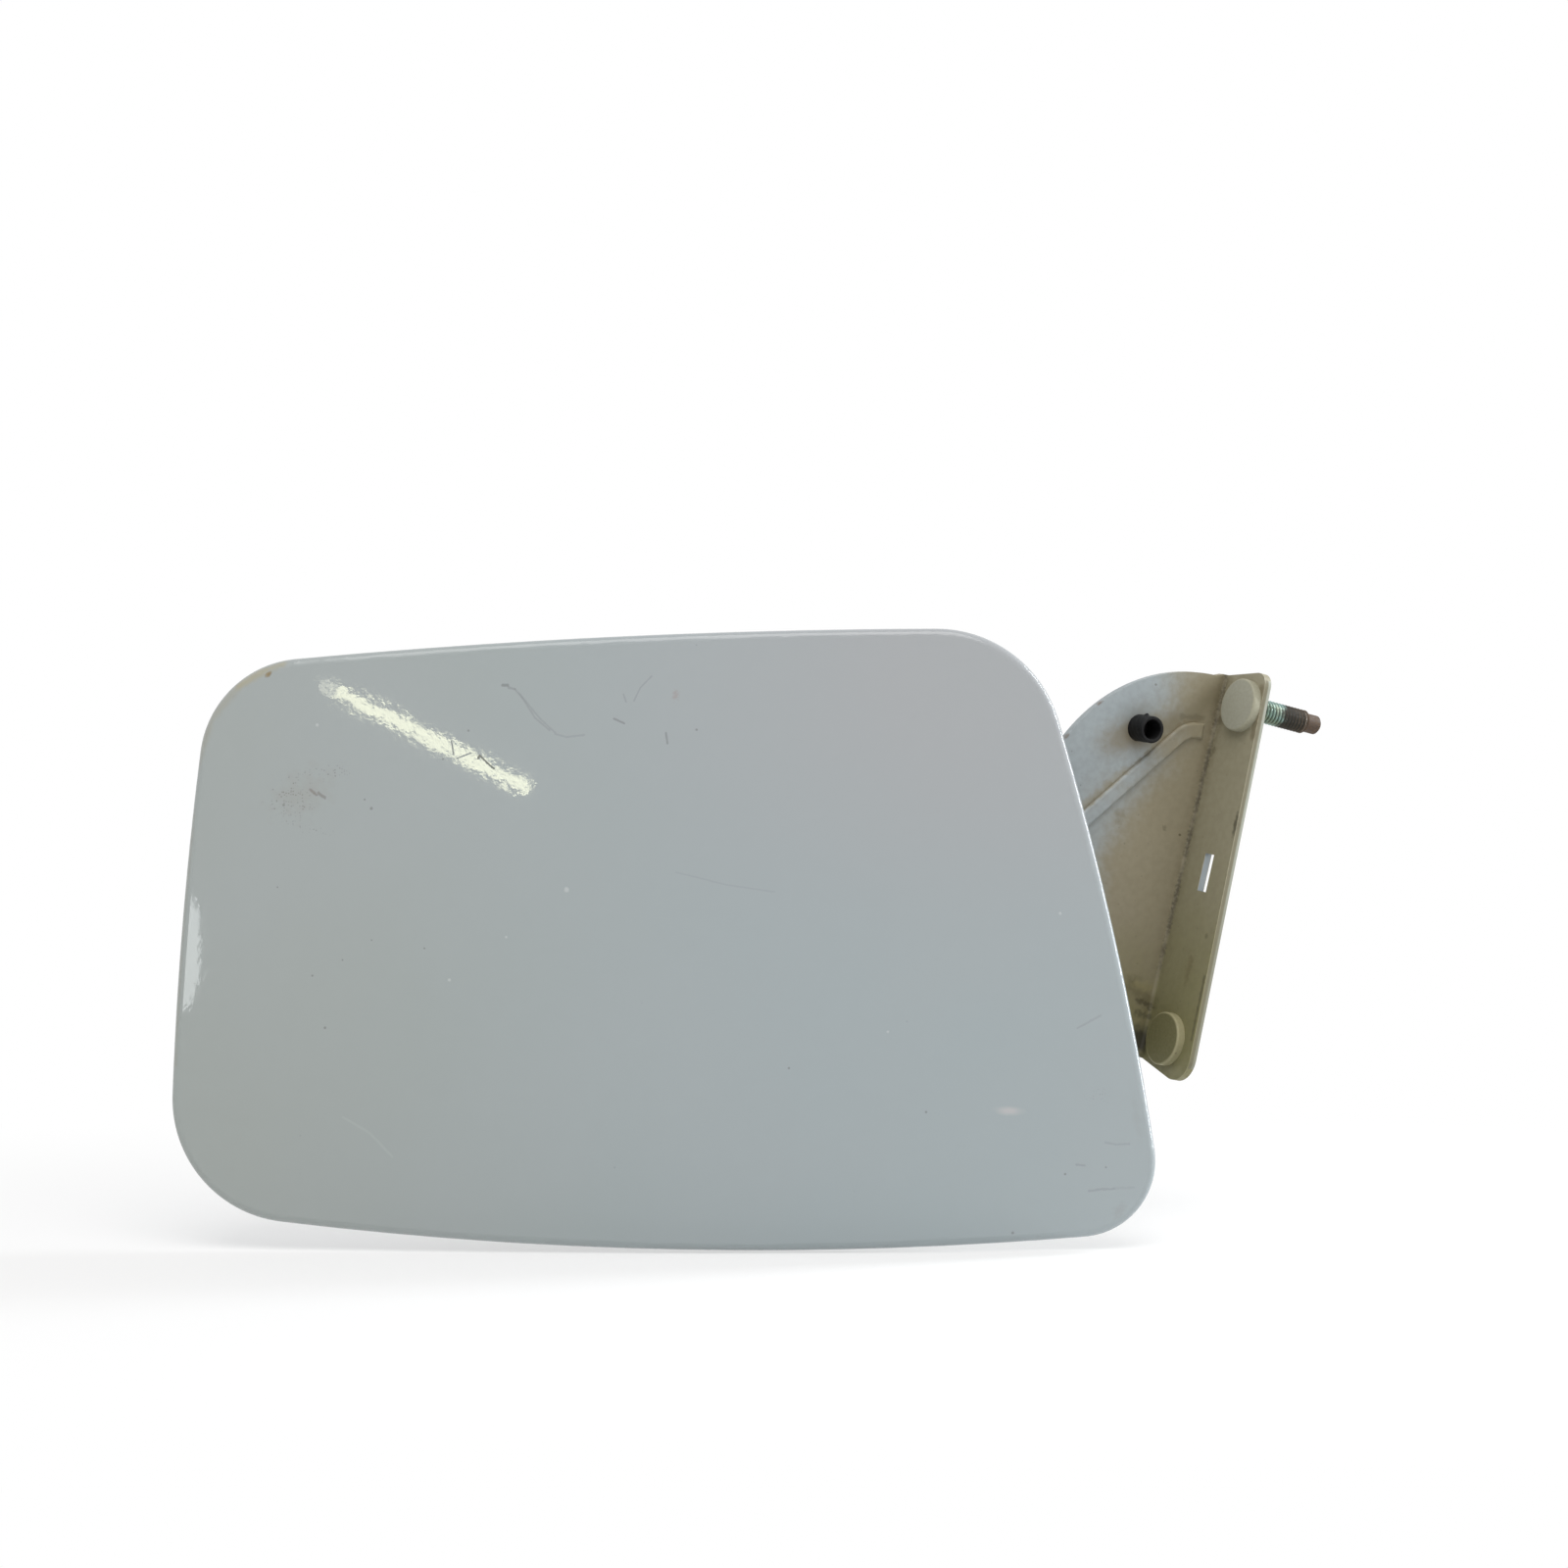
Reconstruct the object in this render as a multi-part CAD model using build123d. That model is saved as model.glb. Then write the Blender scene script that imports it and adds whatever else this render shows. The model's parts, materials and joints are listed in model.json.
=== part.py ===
from build123d import *
import os
from math import cos, radians, sin

# A car fuel door on its hinge bracket, in millimetres and degrees
# The origin lies on the upper stud's axis, on the flange face that seats on the car
# +X runs across the door to its hinge side, +Y into the car and +Z up

# Door outline: four corners before rounding, from the crown's highest point
corner_top_left = (-108.2, 64.0)
corner_top_right = (85.9, 73.0)
corner_bottom_right = (118.4, -69.6)
corner_bottom_left = (-118.4, -64.2)
round_top_left = 25.0
round_top_right = 30.0
round_bottom_right = 18.0
round_bottom_left = 29.0
bow_top = 2.6
bow_right = 3.3
bow_bottom = 6.7
bow_left = 2.0
crown_radius = 1500.0
door_place = (-144.8, -42.9, -55.4)

# Door sheets: the outer skin is folded round the inner panel's flange
skin_thickness = 0.8
inner_thickness = 0.7
hem_width = 9.0
hem_gap = 0.05
flange_end_gap = 0.4
hem_front_round = 2.0
hem_back_round = 0.3
pan_inset = 16.0
pan_depth = 9.0
pan_slope = 0.8
pan_round = 12.0

# Pivot line: parallel to the door's hinge edge
pivot_outset = -1.8
pivot_depth = 29.0
pin_diameter = 3.5
pin_running_gap = 0.05
pin_head_diameter = 6.4
pin_head_height = 1.5
pin_tail = 4.0
clip_groove_depth = 0.5
clip_thickness = 0.8
clip_width = 2.0
clip_mouth = 3.2

# Hinge leaf, welded to the inner panel
leaf_thickness = 1.8
leaf_span = 38.0
leaf_reach = 28.0
leaf_width = 22.0
leaf_rise = 6.0
knuckle_radius = 3.6
bush_wall = 0.7
bush_flange = 0.7
bush_flange_width = 1.0
fit_gap = 0.02

# Base bracket: a plate and a flange bent from one sheet
bracket_thickness = 2.0
bend_radius = 1.0
flange_lean = 12.8
flange_turn = 26.8
flange_above = 7.4
flange_below = 92.4
flange_flare_top = 1.8
flange_flare_bottom = 4.2
flange_width_top = 16.4
flange_width_bottom = 20.8
flange_top_round = 3.5
flange_tip_round = 6.0
ear_radius = 3.8
ear_thickness = 2.0
ear_margin = 4.0
ear_gap = 0.3
lower_ear_margin = 4.7
lobe_start = (-5.0, 6.6)
lobe_middle = (-27.2, 0.4)
lobe_end = (-45.6, -19.2)
plate_corner_round = 4.0
bead_start = (-36.5, -39.0)
bead_knee = (-10.3, -8.4)
bead_end = (-5.5, -8.1)
bead_width = 4.2
bead_height = 0.9
bead_knee_round = 8.0
bead_edge_round = 0.8
slot_width = 3.7
slot_length = 9.6
slot_offset = -0.2

# Studs pressed into the flange
stud_diameter = 6.0
stud_neck_diameter = 6.8
lower_stud_margin = 6.6
stud_inset = 10.0
stud_head_diameter = 13.4
stud_head_height = 2.2
stud_head_round = 0.5
upper_stud_length = 16.6
stud_tip_diameter = 4.8
stud_tip_length = 4.8
stud_tip_chamfer = 0.6
lower_stud_stub = 3.5

# Hollow stop buffer on the bracket's plate
stop_place = (-24.5, -11.2)
stop_diameter = 6.0
stop_bore = 3.8
stop_height = 6.0
stop_foot_diameter = 6.8
stop_foot_height = 1.2
stop_neck_diameter = 4.6
stop_barb_diameter = 6.0
stop_barb_end = 4.4
stop_barb_length = 2.4

# Latch striker, riveted to the inner panel at the free side
striker_place = (-74.0, 2.0)
striker_thickness = 1.5
striker_base = (14.0, 28.0)
striker_reach = 20.0
striker_tongue_width = 13.0
striker_window = (7.0, 6.0)
striker_window_rim = 4.0
rivet_diameter = 4.0
rivet_head_diameter = 7.0
rivet_head_height = 1.3
rivet_tail_height = 1.0
rivet_spacing = 20.5

# Rubber rest buffers, pushed into the inner panel
upper_buffer_place = (-76.0, 33.0)
lower_buffer_place = (-80.0, -32.0)
buffer_diameter = 11.0
buffer_height = 5.0
buffer_edge_round = 1.5
buffer_neck_diameter = 5.0
buffer_barb_diameter = 7.0
buffer_barb_length = 2.5

# Construction lengths that reach clear of the solids
far = 40.0
wide = 8 * far
through = 4 * bracket_thickness
overlap = 1.0
pan_block_front = 5.0
pan_block_back = 20.0

# Values that follow from the sizes above
hem_thickness = 2 * skin_thickness + inner_thickness + 2 * hem_gap
ring_depth = skin_thickness + hem_gap
floor_back = pan_depth + inner_thickness
door_plane = Plane(origin=door_place, x_dir=(1, 0, 0), z_dir=(0, -1, 0))

lean = radians(flange_lean)
turn = radians(flange_turn)
shank_way = Vector(cos(turn) * cos(lean), sin(turn), -cos(turn) * sin(lean))
crease_way = Vector(sin(lean), 0, cos(lean))
base_plane = Plane(origin=(0, 0, 0), x_dir=shank_way, z_dir=shank_way.cross(crease_way))
plate_front = -stud_inset
plate_back = plate_front - bracket_thickness
stud_spacing = flange_below - lower_stud_margin

pin_radius = pin_diameter / 2
bush_bore = pin_radius + pin_running_gap
bush_radius = bush_bore + bush_wall
arm_outer = leaf_span / 2
ear_inner = arm_outer + bush_flange + ear_gap
ear_outer = ear_inner + ear_thickness

# The pivot lies along the hinge edge, so low that its lower ear stands just inside the plate's lower end
edge_top = Vector(*corner_top_right)
edge_bottom = Vector(*corner_bottom_right)
edge_way = (edge_top - edge_bottom).normalized()
edge_out = Vector(edge_way.Y, -edge_way.X)
edge_middle = (edge_top + edge_bottom) / 2 + edge_out * (bow_right + pivot_outset)
pivot_way = Vector(edge_way.X, 0, edge_way.Y)
pivot_start = door_plane.from_local_coords(Vector(edge_middle.X, edge_middle.Y, -pivot_depth))
start_height = base_plane.to_local_coords(pivot_start).Y + flange_below - lower_ear_margin
pivot_drop = start_height / pivot_way.dot(crease_way) - ear_outer
pivot_flat = edge_middle - edge_way * pivot_drop
pivot_point = pivot_start - pivot_way * pivot_drop
pivot_plane = Plane(origin=pivot_point, x_dir=(edge_out.X, 0, edge_out.Y), z_dir=pivot_way)


# Door outline, drawn in the door's own plane with its rounded corners
def door_sketch(inset=0.0, least_round=0.0):
    corners = [Vector(*corner_top_left), Vector(*corner_top_right),
               Vector(*corner_bottom_right), Vector(*corner_bottom_left)]
    bows = [bow_top, bow_right, bow_bottom, bow_left]
    rounds = [round_top_left, round_top_right, round_bottom_right, round_bottom_left]
    arcs = []
    for number, bow in enumerate(bows):
        start = corners[number]
        end = corners[(number + 1) % 4]
        way = (end - start).normalized()
        outward = Vector(-way.Y, way.X)
        arcs.append(ThreePointArc(start, (start + end) / 2 + outward * bow, end))
    sketch = make_face(arcs)
    if inset:
        sketch = offset(sketch, amount=-inset, kind=Kind.INTERSECTION)
    for corner, size in zip(corners, rounds):
        vertex = sketch.vertices().sort_by_distance(corner)[0]
        sketch = fillet(vertex, max(size - inset, least_round))
    return sketch


# Straight prism of a sketch, through the whole depth of the door
def prism(sketch):
    return extrude(Pos(0, 0, -far) * sketch, amount=2 * far)


# Everything deeper than a crowned surface at this depth below the outer face
def below(depth):
    return Pos(0, 0, -crown_radius) * Rot(90, 0, 0) * Sphere(crown_radius - depth)


# Crowned sheet of a sketch between two depths
def sheet(sketch, front, back):
    return (prism(sketch) & below(front)) - below(back)


# Sloped block that forms the inner panel's pan
def pan_block(inset):
    high = pan_inset + inset - pan_slope * pan_block_front
    low = pan_inset + inset + pan_slope * pan_block_back
    front = Pos(0, 0, pan_block_front) * door_sketch(high, pan_round)
    back = Pos(0, 0, -pan_block_back) * door_sketch(low, pan_round)
    return loft([front.face(), back.face()], ruled=True)


# Round post along the door's depth, from one depth to another
def post(place, diameter, front, back):
    return Pos(place[0], place[1], -(front + back) / 2) * Cylinder(diameter / 2, back - front)


# Depth of the crowned surface below the door's plane at a place
def sag(place, depth=0.0):
    radius = crown_radius - depth
    return crown_radius - (radius ** 2 - place[0] ** 2 - place[1] ** 2) ** 0.5


def make_outer_skin():
    blank = sheet(door_sketch(), 0, hem_thickness)
    back = blank.faces().sort_by(SortBy.AREA)[-2:].sort_by(Axis.Z)[0]
    blank = fillet(back.outer_wire().edges(), hem_back_round)
    front = blank.faces().sort_by(Axis.Z)[-1]
    blank = fillet(front.outer_wire().edges(), hem_front_round)
    window = prism(door_sketch(hem_width)) & below(skin_thickness)
    fold = sheet(door_sketch(skin_thickness), skin_thickness, hem_thickness - skin_thickness)
    return blank - window - fold


def make_inner_panel():
    rim = sheet(door_sketch(skin_thickness + flange_end_gap), ring_depth, ring_depth + inner_thickness)
    hollow = pan_block(inner_thickness)
    pan = (pan_block(0) - below(floor_back)) - (hollow - below(pan_depth))
    panel = (rim - hollow) + (pan & below(ring_depth))
    for place in rivet_places():
        panel -= post(place, rivet_diameter + 2 * fit_gap, 0, far)
    for place in (upper_buffer_place, lower_buffer_place):
        panel -= post(place, buffer_neck_diameter + 2 * fit_gap, 0, far)
    return panel


def rivet_places():
    return [(striker_place[0], striker_place[1] + side * rivet_spacing / 2) for side in (-1, 1)]


def make_latch_striker():
    base = Pos(*striker_place) * RectangleRounded(*striker_base, striker_base[0] / 4)
    plate = sheet(base, floor_back, floor_back + striker_thickness)
    near = sag(striker_place, floor_back)
    tongue_middle = striker_place[0] - striker_base[0] / 2 + striker_thickness / 2
    tongue = Pos(tongue_middle, striker_place[1], -near - striker_reach / 2) * Box(
        striker_thickness, striker_tongue_width, striker_reach)
    window_depth = near + striker_reach - striker_window_rim - striker_window[1] / 2
    window = Pos(tongue_middle, striker_place[1], -window_depth) * Box(
        3 * striker_thickness, striker_window[0], striker_window[1])
    striker = plate + (tongue & below(floor_back)) - window
    for place in rivet_places():
        striker -= post(place, rivet_diameter + 2 * fit_gap, 0, far)
    return striker


def make_striker_rivets():
    rivets = []
    for place in rivet_places():
        seat = floor_back + striker_thickness
        shank = post(place, rivet_diameter, sag(place, pan_depth), sag(place, seat))
        head = post(place, rivet_head_diameter, sag(place, seat) - overlap,
                    sag(place, seat) + rivet_head_height)
        head = fillet(head.faces().sort_by(Axis.Z)[0].edges(), rivet_head_height / 2) & below(seat)
        tail = post(place, rivet_head_diameter, sag(place, pan_depth) - rivet_tail_height,
                    sag(place, pan_depth) + overlap) - below(pan_depth)
        rivets.append(shank + head + tail)
    return Compound(children=[rivet.solid() for rivet in rivets])


def make_rest_buffer(place):
    foot = sag(place, floor_back)
    inside = sag(place, pan_depth)
    pad = post(place, buffer_diameter, foot - overlap, foot + buffer_height)
    pad = fillet(pad.faces().sort_by(Axis.Z)[0].edges(), buffer_edge_round) & below(floor_back)
    neck = post(place, buffer_neck_diameter, inside - buffer_barb_length / 2, foot + overlap)
    barb = post(place, buffer_barb_diameter, inside - buffer_barb_length, inside + overlap)
    barb -= below(pan_depth)
    barb = chamfer(barb.faces().sort_by(Axis.Z)[-1].edges(),
                   (buffer_barb_diameter - buffer_neck_diameter) / 2)
    return pad + neck + barb


# Hinge leaf: a welded foot with two arms that reach back to the pivot
def make_hinge_leaf():
    left = -leaf_reach - leaf_width
    block = Pos((left - leaf_reach) / 2, -far / 2, 0) * Box(leaf_width, 2 * far, leaf_span)
    shell = below(floor_back) - below(floor_back + leaf_thickness)
    foot = pivot_plane * block & door_plane * shell
    floor = sag((pivot_flat.X - leaf_reach, pivot_flat.Y), floor_back) - pivot_depth
    outline = Polyline((left, floor - far), (-leaf_reach, floor - far), (0, -knuckle_radius),
                       (0, knuckle_radius), (left, floor + leaf_rise), close=True)
    arm = make_face(outline) + Circle(knuckle_radius) - Circle(bush_radius + fit_gap)
    leaf = foot
    for level in (-arm_outer, arm_outer - leaf_thickness):
        blade = pivot_plane * (Pos(0, 0, level) * extrude(arm, amount=leaf_thickness))
        leaf += blade & door_plane * below(floor_back)
    return leaf


# Flanged bush in an arm, side +1 for the upper one and -1 for the lower one
def make_bush(side):
    tube = Circle(bush_radius) - Circle(bush_bore)
    rim = Circle(bush_radius + bush_flange_width) - Circle(bush_bore)
    sleeve = Pos(0, 0, arm_outer - leaf_thickness) * extrude(tube, amount=leaf_thickness)
    bush = sleeve + Pos(0, 0, arm_outer) * extrude(rim, amount=bush_flange)
    return pivot_plane * (bush if side > 0 else Rot(180, 0, 0) * bush)


def make_hinge_pin():
    low = -ear_outer - pin_tail
    shank = Pos(0, 0, low) * extrude(Circle(pin_radius), amount=ear_outer - low)
    head = Pos(0, 0, ear_outer) * extrude(Circle(pin_head_diameter / 2), amount=pin_head_height)
    head = chamfer(head.faces().sort_by(Axis.Z)[-1].edges(), pin_head_height / 3)
    groove = Pos(0, 0, -ear_outer - ear_gap - clip_thickness) * extrude(
        Circle(pin_diameter) - Circle(pin_radius - clip_groove_depth), amount=clip_thickness)
    return pivot_plane * (shank + head - groove)


def make_pin_clip():
    bore = pin_radius - clip_groove_depth
    ring = Circle(bore + clip_width) - Circle(bore + fit_gap)
    ring -= Pos(-pin_diameter, 0) * Rectangle(2 * pin_diameter, clip_mouth)
    flat = extrude(ring, amount=clip_thickness - 2 * fit_gap)
    return pivot_plane * (Pos(0, 0, -ear_outer - ear_gap - clip_thickness + fit_gap) * flat)


# Place on the bracket's plate straight behind a point beside the pivot line
def plate_place(station, aside):
    point = pivot_point + pivot_way * station + pivot_plane.x_dir * aside
    height = base_plane.to_local_coords(point).Z - plate_front
    behind = point + Vector(0, 1, 0) * (height / -base_plane.z_dir.Y)
    spot = base_plane.to_local_coords(behind)
    return (spot.X, spot.Y)


def make_base_bracket():
    t = bracket_thickness
    high = flange_above + flange_flare_top
    low = -flange_below - flange_flare_bottom
    corner = make_face(Polyline((0, plate_back), (0, far), (-t, far), (-t, plate_front),
                                (-2 * far, plate_front), (-2 * far, plate_back), close=True))
    corner = fillet(corner.vertices().sort_by_distance((-t, plate_front))[0], bend_radius)
    corner = fillet(corner.vertices().sort_by_distance((0, plate_back))[0], bend_radius + t)
    section = Plane(origin=(0, high, 0), x_dir=(1, 0, 0), z_dir=(0, -1, 0)) * corner
    angle = extrude(section, amount=high - low)

    top_left = plate_place(ear_outer + ear_margin, -ear_radius - ear_margin)
    ear_foot = plate_place(-ear_outer, -ear_radius - ear_margin)
    run = (-flange_below - top_left[1]) / (ear_foot[1] - top_left[1])
    bottom_left = (top_left[0] + run * (ear_foot[0] - top_left[0]), -flange_below)
    crease = -t - bend_radius
    lobe = ThreePointArc(lobe_end, lobe_middle, lobe_start)
    rest = Polyline(lobe_start, (crease, flange_above), (crease, high), (far, high), (far, low),
                    (crease, low), (crease, -flange_below), bottom_left, top_left, lobe_end)
    plate = make_face(lobe.edges() + rest.edges())
    for spot in (top_left, bottom_left, lobe_end):
        plate = fillet(plate.vertices().sort_by_distance(spot)[0], plate_corner_round)
    angle &= extrude(Pos(0, 0, -far) * plate, amount=2 * far)

    wide_top = flange_width_top + plate_front
    wide_bottom = flange_width_bottom + plate_front
    bend_end = plate_front + bend_radius
    edge = Polyline((-far, flange_above), (bend_end, flange_above), (wide_top, high), (wide_bottom, low),
                    (bend_end, -flange_below), (-far, -flange_below), close=True)
    flange = make_face(edge)
    flange = fillet(flange.vertices().sort_by_distance((wide_bottom, low))[0], flange_tip_round)
    flange = fillet(flange.vertices().sort_by_distance((wide_top, high))[0], flange_top_round)
    side = Plane(origin=(0, 0, 0), x_dir=(0, 0, 1), z_dir=(-1, 0, 0))
    angle &= extrude(side * flange, amount=2 * far, both=True)

    path = FilletPolyline(bead_start, bead_knee, bead_end, radius=bead_knee_round)
    band = trace(path, line_width=bead_width)
    ridge = extrude(Pos(0, 0, plate_front) * band, amount=bead_height)
    ridge = fillet(ridge.faces().sort_by(Axis.Z)[-1].edges(), bead_edge_round)
    groove = extrude(Pos(0, 0, plate_back) * trace(path, line_width=bead_width - t / 2), amount=bead_height)
    angle = angle + ridge - groove

    for level in (0, -stud_spacing):
        angle -= Pos(0, level, 0) * Rot(0, 90, 0) * Cylinder(stud_neck_diameter / 2 + fit_gap, through)
    angle -= Pos(0, -stud_spacing / 2, slot_offset) * Box(through, slot_length, slot_width)
    angle -= Pos(*stop_place, plate_front) * Cylinder(stop_neck_diameter / 2 + fit_gap, through)

    bracket = base_plane * angle
    behind_plate = base_plane * (Pos(0, 0, plate_back - far) * Box(wide, wide, 2 * far))
    ear = Circle(ear_radius) + Pos(0, far / 2) * Rectangle(2 * ear_radius, far)
    ear -= Circle(pin_radius + fit_gap)
    for level in (-ear_outer, ear_inner):
        lug = pivot_plane * (Pos(0, 0, level) * extrude(ear, amount=ear_thickness))
        bracket += lug - behind_plate
    return bracket


# Stud on its own axis along +Z: a head, a pressed neck in the flange and a shank from its outer face
def stud_body(length):
    head = Pos(0, 0, -bracket_thickness - stud_head_height) * extrude(
        Circle(stud_head_diameter / 2), amount=stud_head_height)
    head = fillet(head.faces().sort_by(Axis.Z)[0].edges(), stud_head_round)
    neck = Pos(0, 0, -bracket_thickness) * extrude(Circle(stud_neck_diameter / 2), amount=bracket_thickness)
    return head + neck + extrude(Circle(stud_diameter / 2), amount=length)


def make_upper_stud():
    tip = Pos(0, 0, upper_stud_length) * extrude(Circle(stud_tip_diameter / 2), amount=stud_tip_length)
    tip = chamfer(tip.faces().sort_by(Axis.Z)[-1].edges(), stud_tip_chamfer)
    return base_plane * Rot(0, 90, 0) * (stud_body(upper_stud_length) + tip)


def make_lower_stud():
    return base_plane * Pos(0, -stud_spacing, 0) * Rot(0, 90, 0) * stud_body(lower_stud_stub)


# Hollow buffer with a foot on the plate, a neck through it and a barb behind it
def make_stop_buffer():
    tube = extrude(Circle(stop_diameter / 2), amount=stop_height)
    tube += extrude(Circle(stop_foot_diameter / 2), amount=stop_foot_height)
    neck = Pos(0, 0, -bracket_thickness) * extrude(Circle(stop_neck_diameter / 2), amount=bracket_thickness)
    barb = Pos(0, 0, -bracket_thickness - stop_barb_length / 2) * Rot(180, 0, 0) * Cone(
        stop_barb_diameter / 2, stop_barb_end / 2, stop_barb_length)
    bore = Pos(0, 0, stop_height / 2) * Cylinder(stop_bore / 2, stop_height)
    return base_plane * Pos(*stop_place, plate_front) * (tube + neck + barb - bore)


def main():
    os.makedirs("parts", exist_ok=True)
    nodes = {
        "outer_skin": door_plane * make_outer_skin(),
        "inner_panel": door_plane * make_inner_panel(),
        "latch_striker": door_plane * make_latch_striker(),
        "striker_rivets": door_plane * make_striker_rivets(),
        "upper_rest_buffer": door_plane * make_rest_buffer(upper_buffer_place),
        "lower_rest_buffer": door_plane * make_rest_buffer(lower_buffer_place),
        "hinge_leaf": make_hinge_leaf(),
        "upper_bush": make_bush(1),
        "lower_bush": make_bush(-1),
        "hinge_pin": make_hinge_pin(),
        "pin_clip": make_pin_clip(),
        "base_bracket": make_base_bracket(),
        "upper_stud": make_upper_stud(),
        "lower_stud": make_lower_stud(),
        "stop_buffer": make_stop_buffer(),
    }
    for name, shape in nodes.items():
        export_step(shape, f"parts/{name}.step")


main()
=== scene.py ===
import json
import math

import bpy
import numpy as np
from mathutils import Matrix, Vector


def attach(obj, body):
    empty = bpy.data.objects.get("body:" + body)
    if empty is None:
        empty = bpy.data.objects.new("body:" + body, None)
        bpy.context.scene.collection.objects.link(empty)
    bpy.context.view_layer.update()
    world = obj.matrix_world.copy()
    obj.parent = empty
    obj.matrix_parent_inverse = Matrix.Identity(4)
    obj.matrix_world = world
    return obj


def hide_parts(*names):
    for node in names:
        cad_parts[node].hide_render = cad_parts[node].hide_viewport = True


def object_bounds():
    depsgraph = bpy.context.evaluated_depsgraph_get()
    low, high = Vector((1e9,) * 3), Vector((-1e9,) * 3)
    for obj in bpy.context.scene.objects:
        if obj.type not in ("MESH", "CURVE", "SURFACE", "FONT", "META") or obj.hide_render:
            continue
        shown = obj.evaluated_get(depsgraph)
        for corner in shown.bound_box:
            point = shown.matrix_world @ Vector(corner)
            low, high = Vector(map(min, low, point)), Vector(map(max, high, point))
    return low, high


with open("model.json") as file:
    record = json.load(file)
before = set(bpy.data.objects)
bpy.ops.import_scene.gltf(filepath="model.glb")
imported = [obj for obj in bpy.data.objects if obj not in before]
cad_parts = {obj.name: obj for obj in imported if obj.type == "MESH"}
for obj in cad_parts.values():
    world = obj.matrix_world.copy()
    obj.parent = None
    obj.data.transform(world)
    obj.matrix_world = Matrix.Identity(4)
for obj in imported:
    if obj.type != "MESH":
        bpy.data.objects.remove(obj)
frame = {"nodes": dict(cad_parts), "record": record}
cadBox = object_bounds()
nodes = frame["nodes"]
scene = bpy.context.scene
mm = 0.001
print("frame loaded with", len(nodes), "nodes")

mounts = {mount["name"]: mount for mount in frame["record"]["mounts"]}
shankWay = Vector(mounts["upper_stud"]["axis"]).normalized()     # out of the flange, along the studs
creaseWay = Vector((-shankWay.z, 0, shankWay.x)).normalized()    # up along the bracket's bend
plateWay = shankWay.cross(creaseWay)                             # plate's normal, towards the viewer

doorFace = dict(centre=(-144.8, -42.9, -55.4), crownRadius=1500.0, facetTilt=3.5)
camera = dict(place=(-117.24, -642.95, -19.15), doorDistance=600.0, halfWidth=184.0, sensor=36.0)


# Point of the crowned face: its depth is the squared way from the crown's middle over twice the radius
def facePoint(across, up):
    depth = (across ** 2 + up ** 2) / (2 * doorFace["crownRadius"])
    return Vector(doorFace["centre"]) + Vector((across, depth, up))


# Where that point of the face mirrors the camera's ray to, after a given way
def mirrored(across, up, reach):
    point = facePoint(across, up)
    normal = Vector((across, -doorFace["crownRadius"], up)).normalized()
    ray = (point - Vector(camera["place"])).normalized()
    return point + reach * (ray - 2 * ray.dot(normal) * normal)


# The half width seen at the door, over the distance to it, is the tangent of the half angle
def makeCamera():
    data = bpy.data.cameras.new("photoCamera")
    data.sensor_width = camera["sensor"]
    data.lens = camera["sensor"] / 2 * camera["doorDistance"] / camera["halfWidth"]
    holder = bpy.data.objects.new("photoCamera", data)
    holder.location = Vector(camera["place"]) * mm
    holder.rotation_euler = (math.radians(90), 0, 0)
    scene.collection.objects.link(holder)
    scene.camera = holder


# Adds a node, sets its plain inputs and links the rest
def addNode(tree, kind, inputs=None, **settings):
    node = tree.nodes.new(kind)
    for name, value in settings.items():
        setattr(node, name, value)
    for name, value in (inputs or {}).items():
        if isinstance(value, bpy.types.NodeSocket):
            tree.links.new(value, node.inputs[name])
        else:
            node.inputs[name].default_value = value
    return node


def addMath(tree, operation, first, second=0.0, clamp=False):
    return addNode(tree, "ShaderNodeMath", {0: first, 1: second}, operation=operation, use_clamp=clamp).outputs[0]


def addTimes(tree, first, second):
    return addMath(tree, "MULTIPLY", first, second)


def addVector(tree, operation, first, second=(0, 0, 0)):
    node = addNode(tree, "ShaderNodeVectorMath", {0: first, 1: second}, operation=operation)
    return node.outputs["Value" if operation in ("DOT_PRODUCT", "LENGTH") else "Vector"]


def addScale(tree, vector, factor):
    return addNode(tree, "ShaderNodeVectorMath", {0: vector, "Scale": factor}, operation="SCALE").outputs[0]


# Smooth step of a value between two places, put out between two levels
def addRamp(tree, value, low, high, under=0.0, over=1.0):
    return addNode(tree, "ShaderNodeMapRange", {"Value": value, "From Min": low, "From Max": high,
                                                "To Min": under, "To Max": over},
                   interpolation_type="SMOOTHSTEP").outputs[0]


def addBlend(tree, share, under, over):
    under, over = (colour if isinstance(colour, bpy.types.NodeSocket) else (*colour, 1.0) for colour in (under, over))
    return addNode(tree, "ShaderNodeMix", {0: share, 6: under, 7: over}, data_type="RGBA").outputs[2]


def addLevel(tree, share, under, over):
    return addNode(tree, "ShaderNodeMix", {0: share, 2: under, 3: over}, data_type="FLOAT").outputs[0]


studio = dict(roomLight=0.55, floorGap=0.5, floorSize=6000.0, floorColour=(0.9, 0.9, 0.9, 1.0),
              shadowShare=0.55, shadowReach=200.0)


# One where the camera, a mirror or glass looks straight at the surface
def seenDirectly(tree):
    path = addNode(tree, "ShaderNodeLightPath").outputs
    both = addMath(tree, "ADD", path["Is Camera Ray"], path["Is Glossy Ray"], clamp=True)
    return addMath(tree, "ADD", both, path["Is Transmission Ray"], clamp=True)


# The room gives even light, and is plain white to the camera and in reflections
def makeRoom():
    world = bpy.data.worlds.new("paleRoom")
    world.use_nodes = True
    tree = world.node_tree
    tree.nodes.clear()
    strength = addLevel(tree, seenDirectly(tree), studio["roomLight"], 1.0)
    light = addNode(tree, "ShaderNodeBackground", {"Color": (1, 1, 1, 1), "Strength": strength})
    out = addNode(tree, "ShaderNodeOutputWorld")
    tree.links.new(light.outputs[0], out.inputs["Surface"])
    scene.world = world


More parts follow.
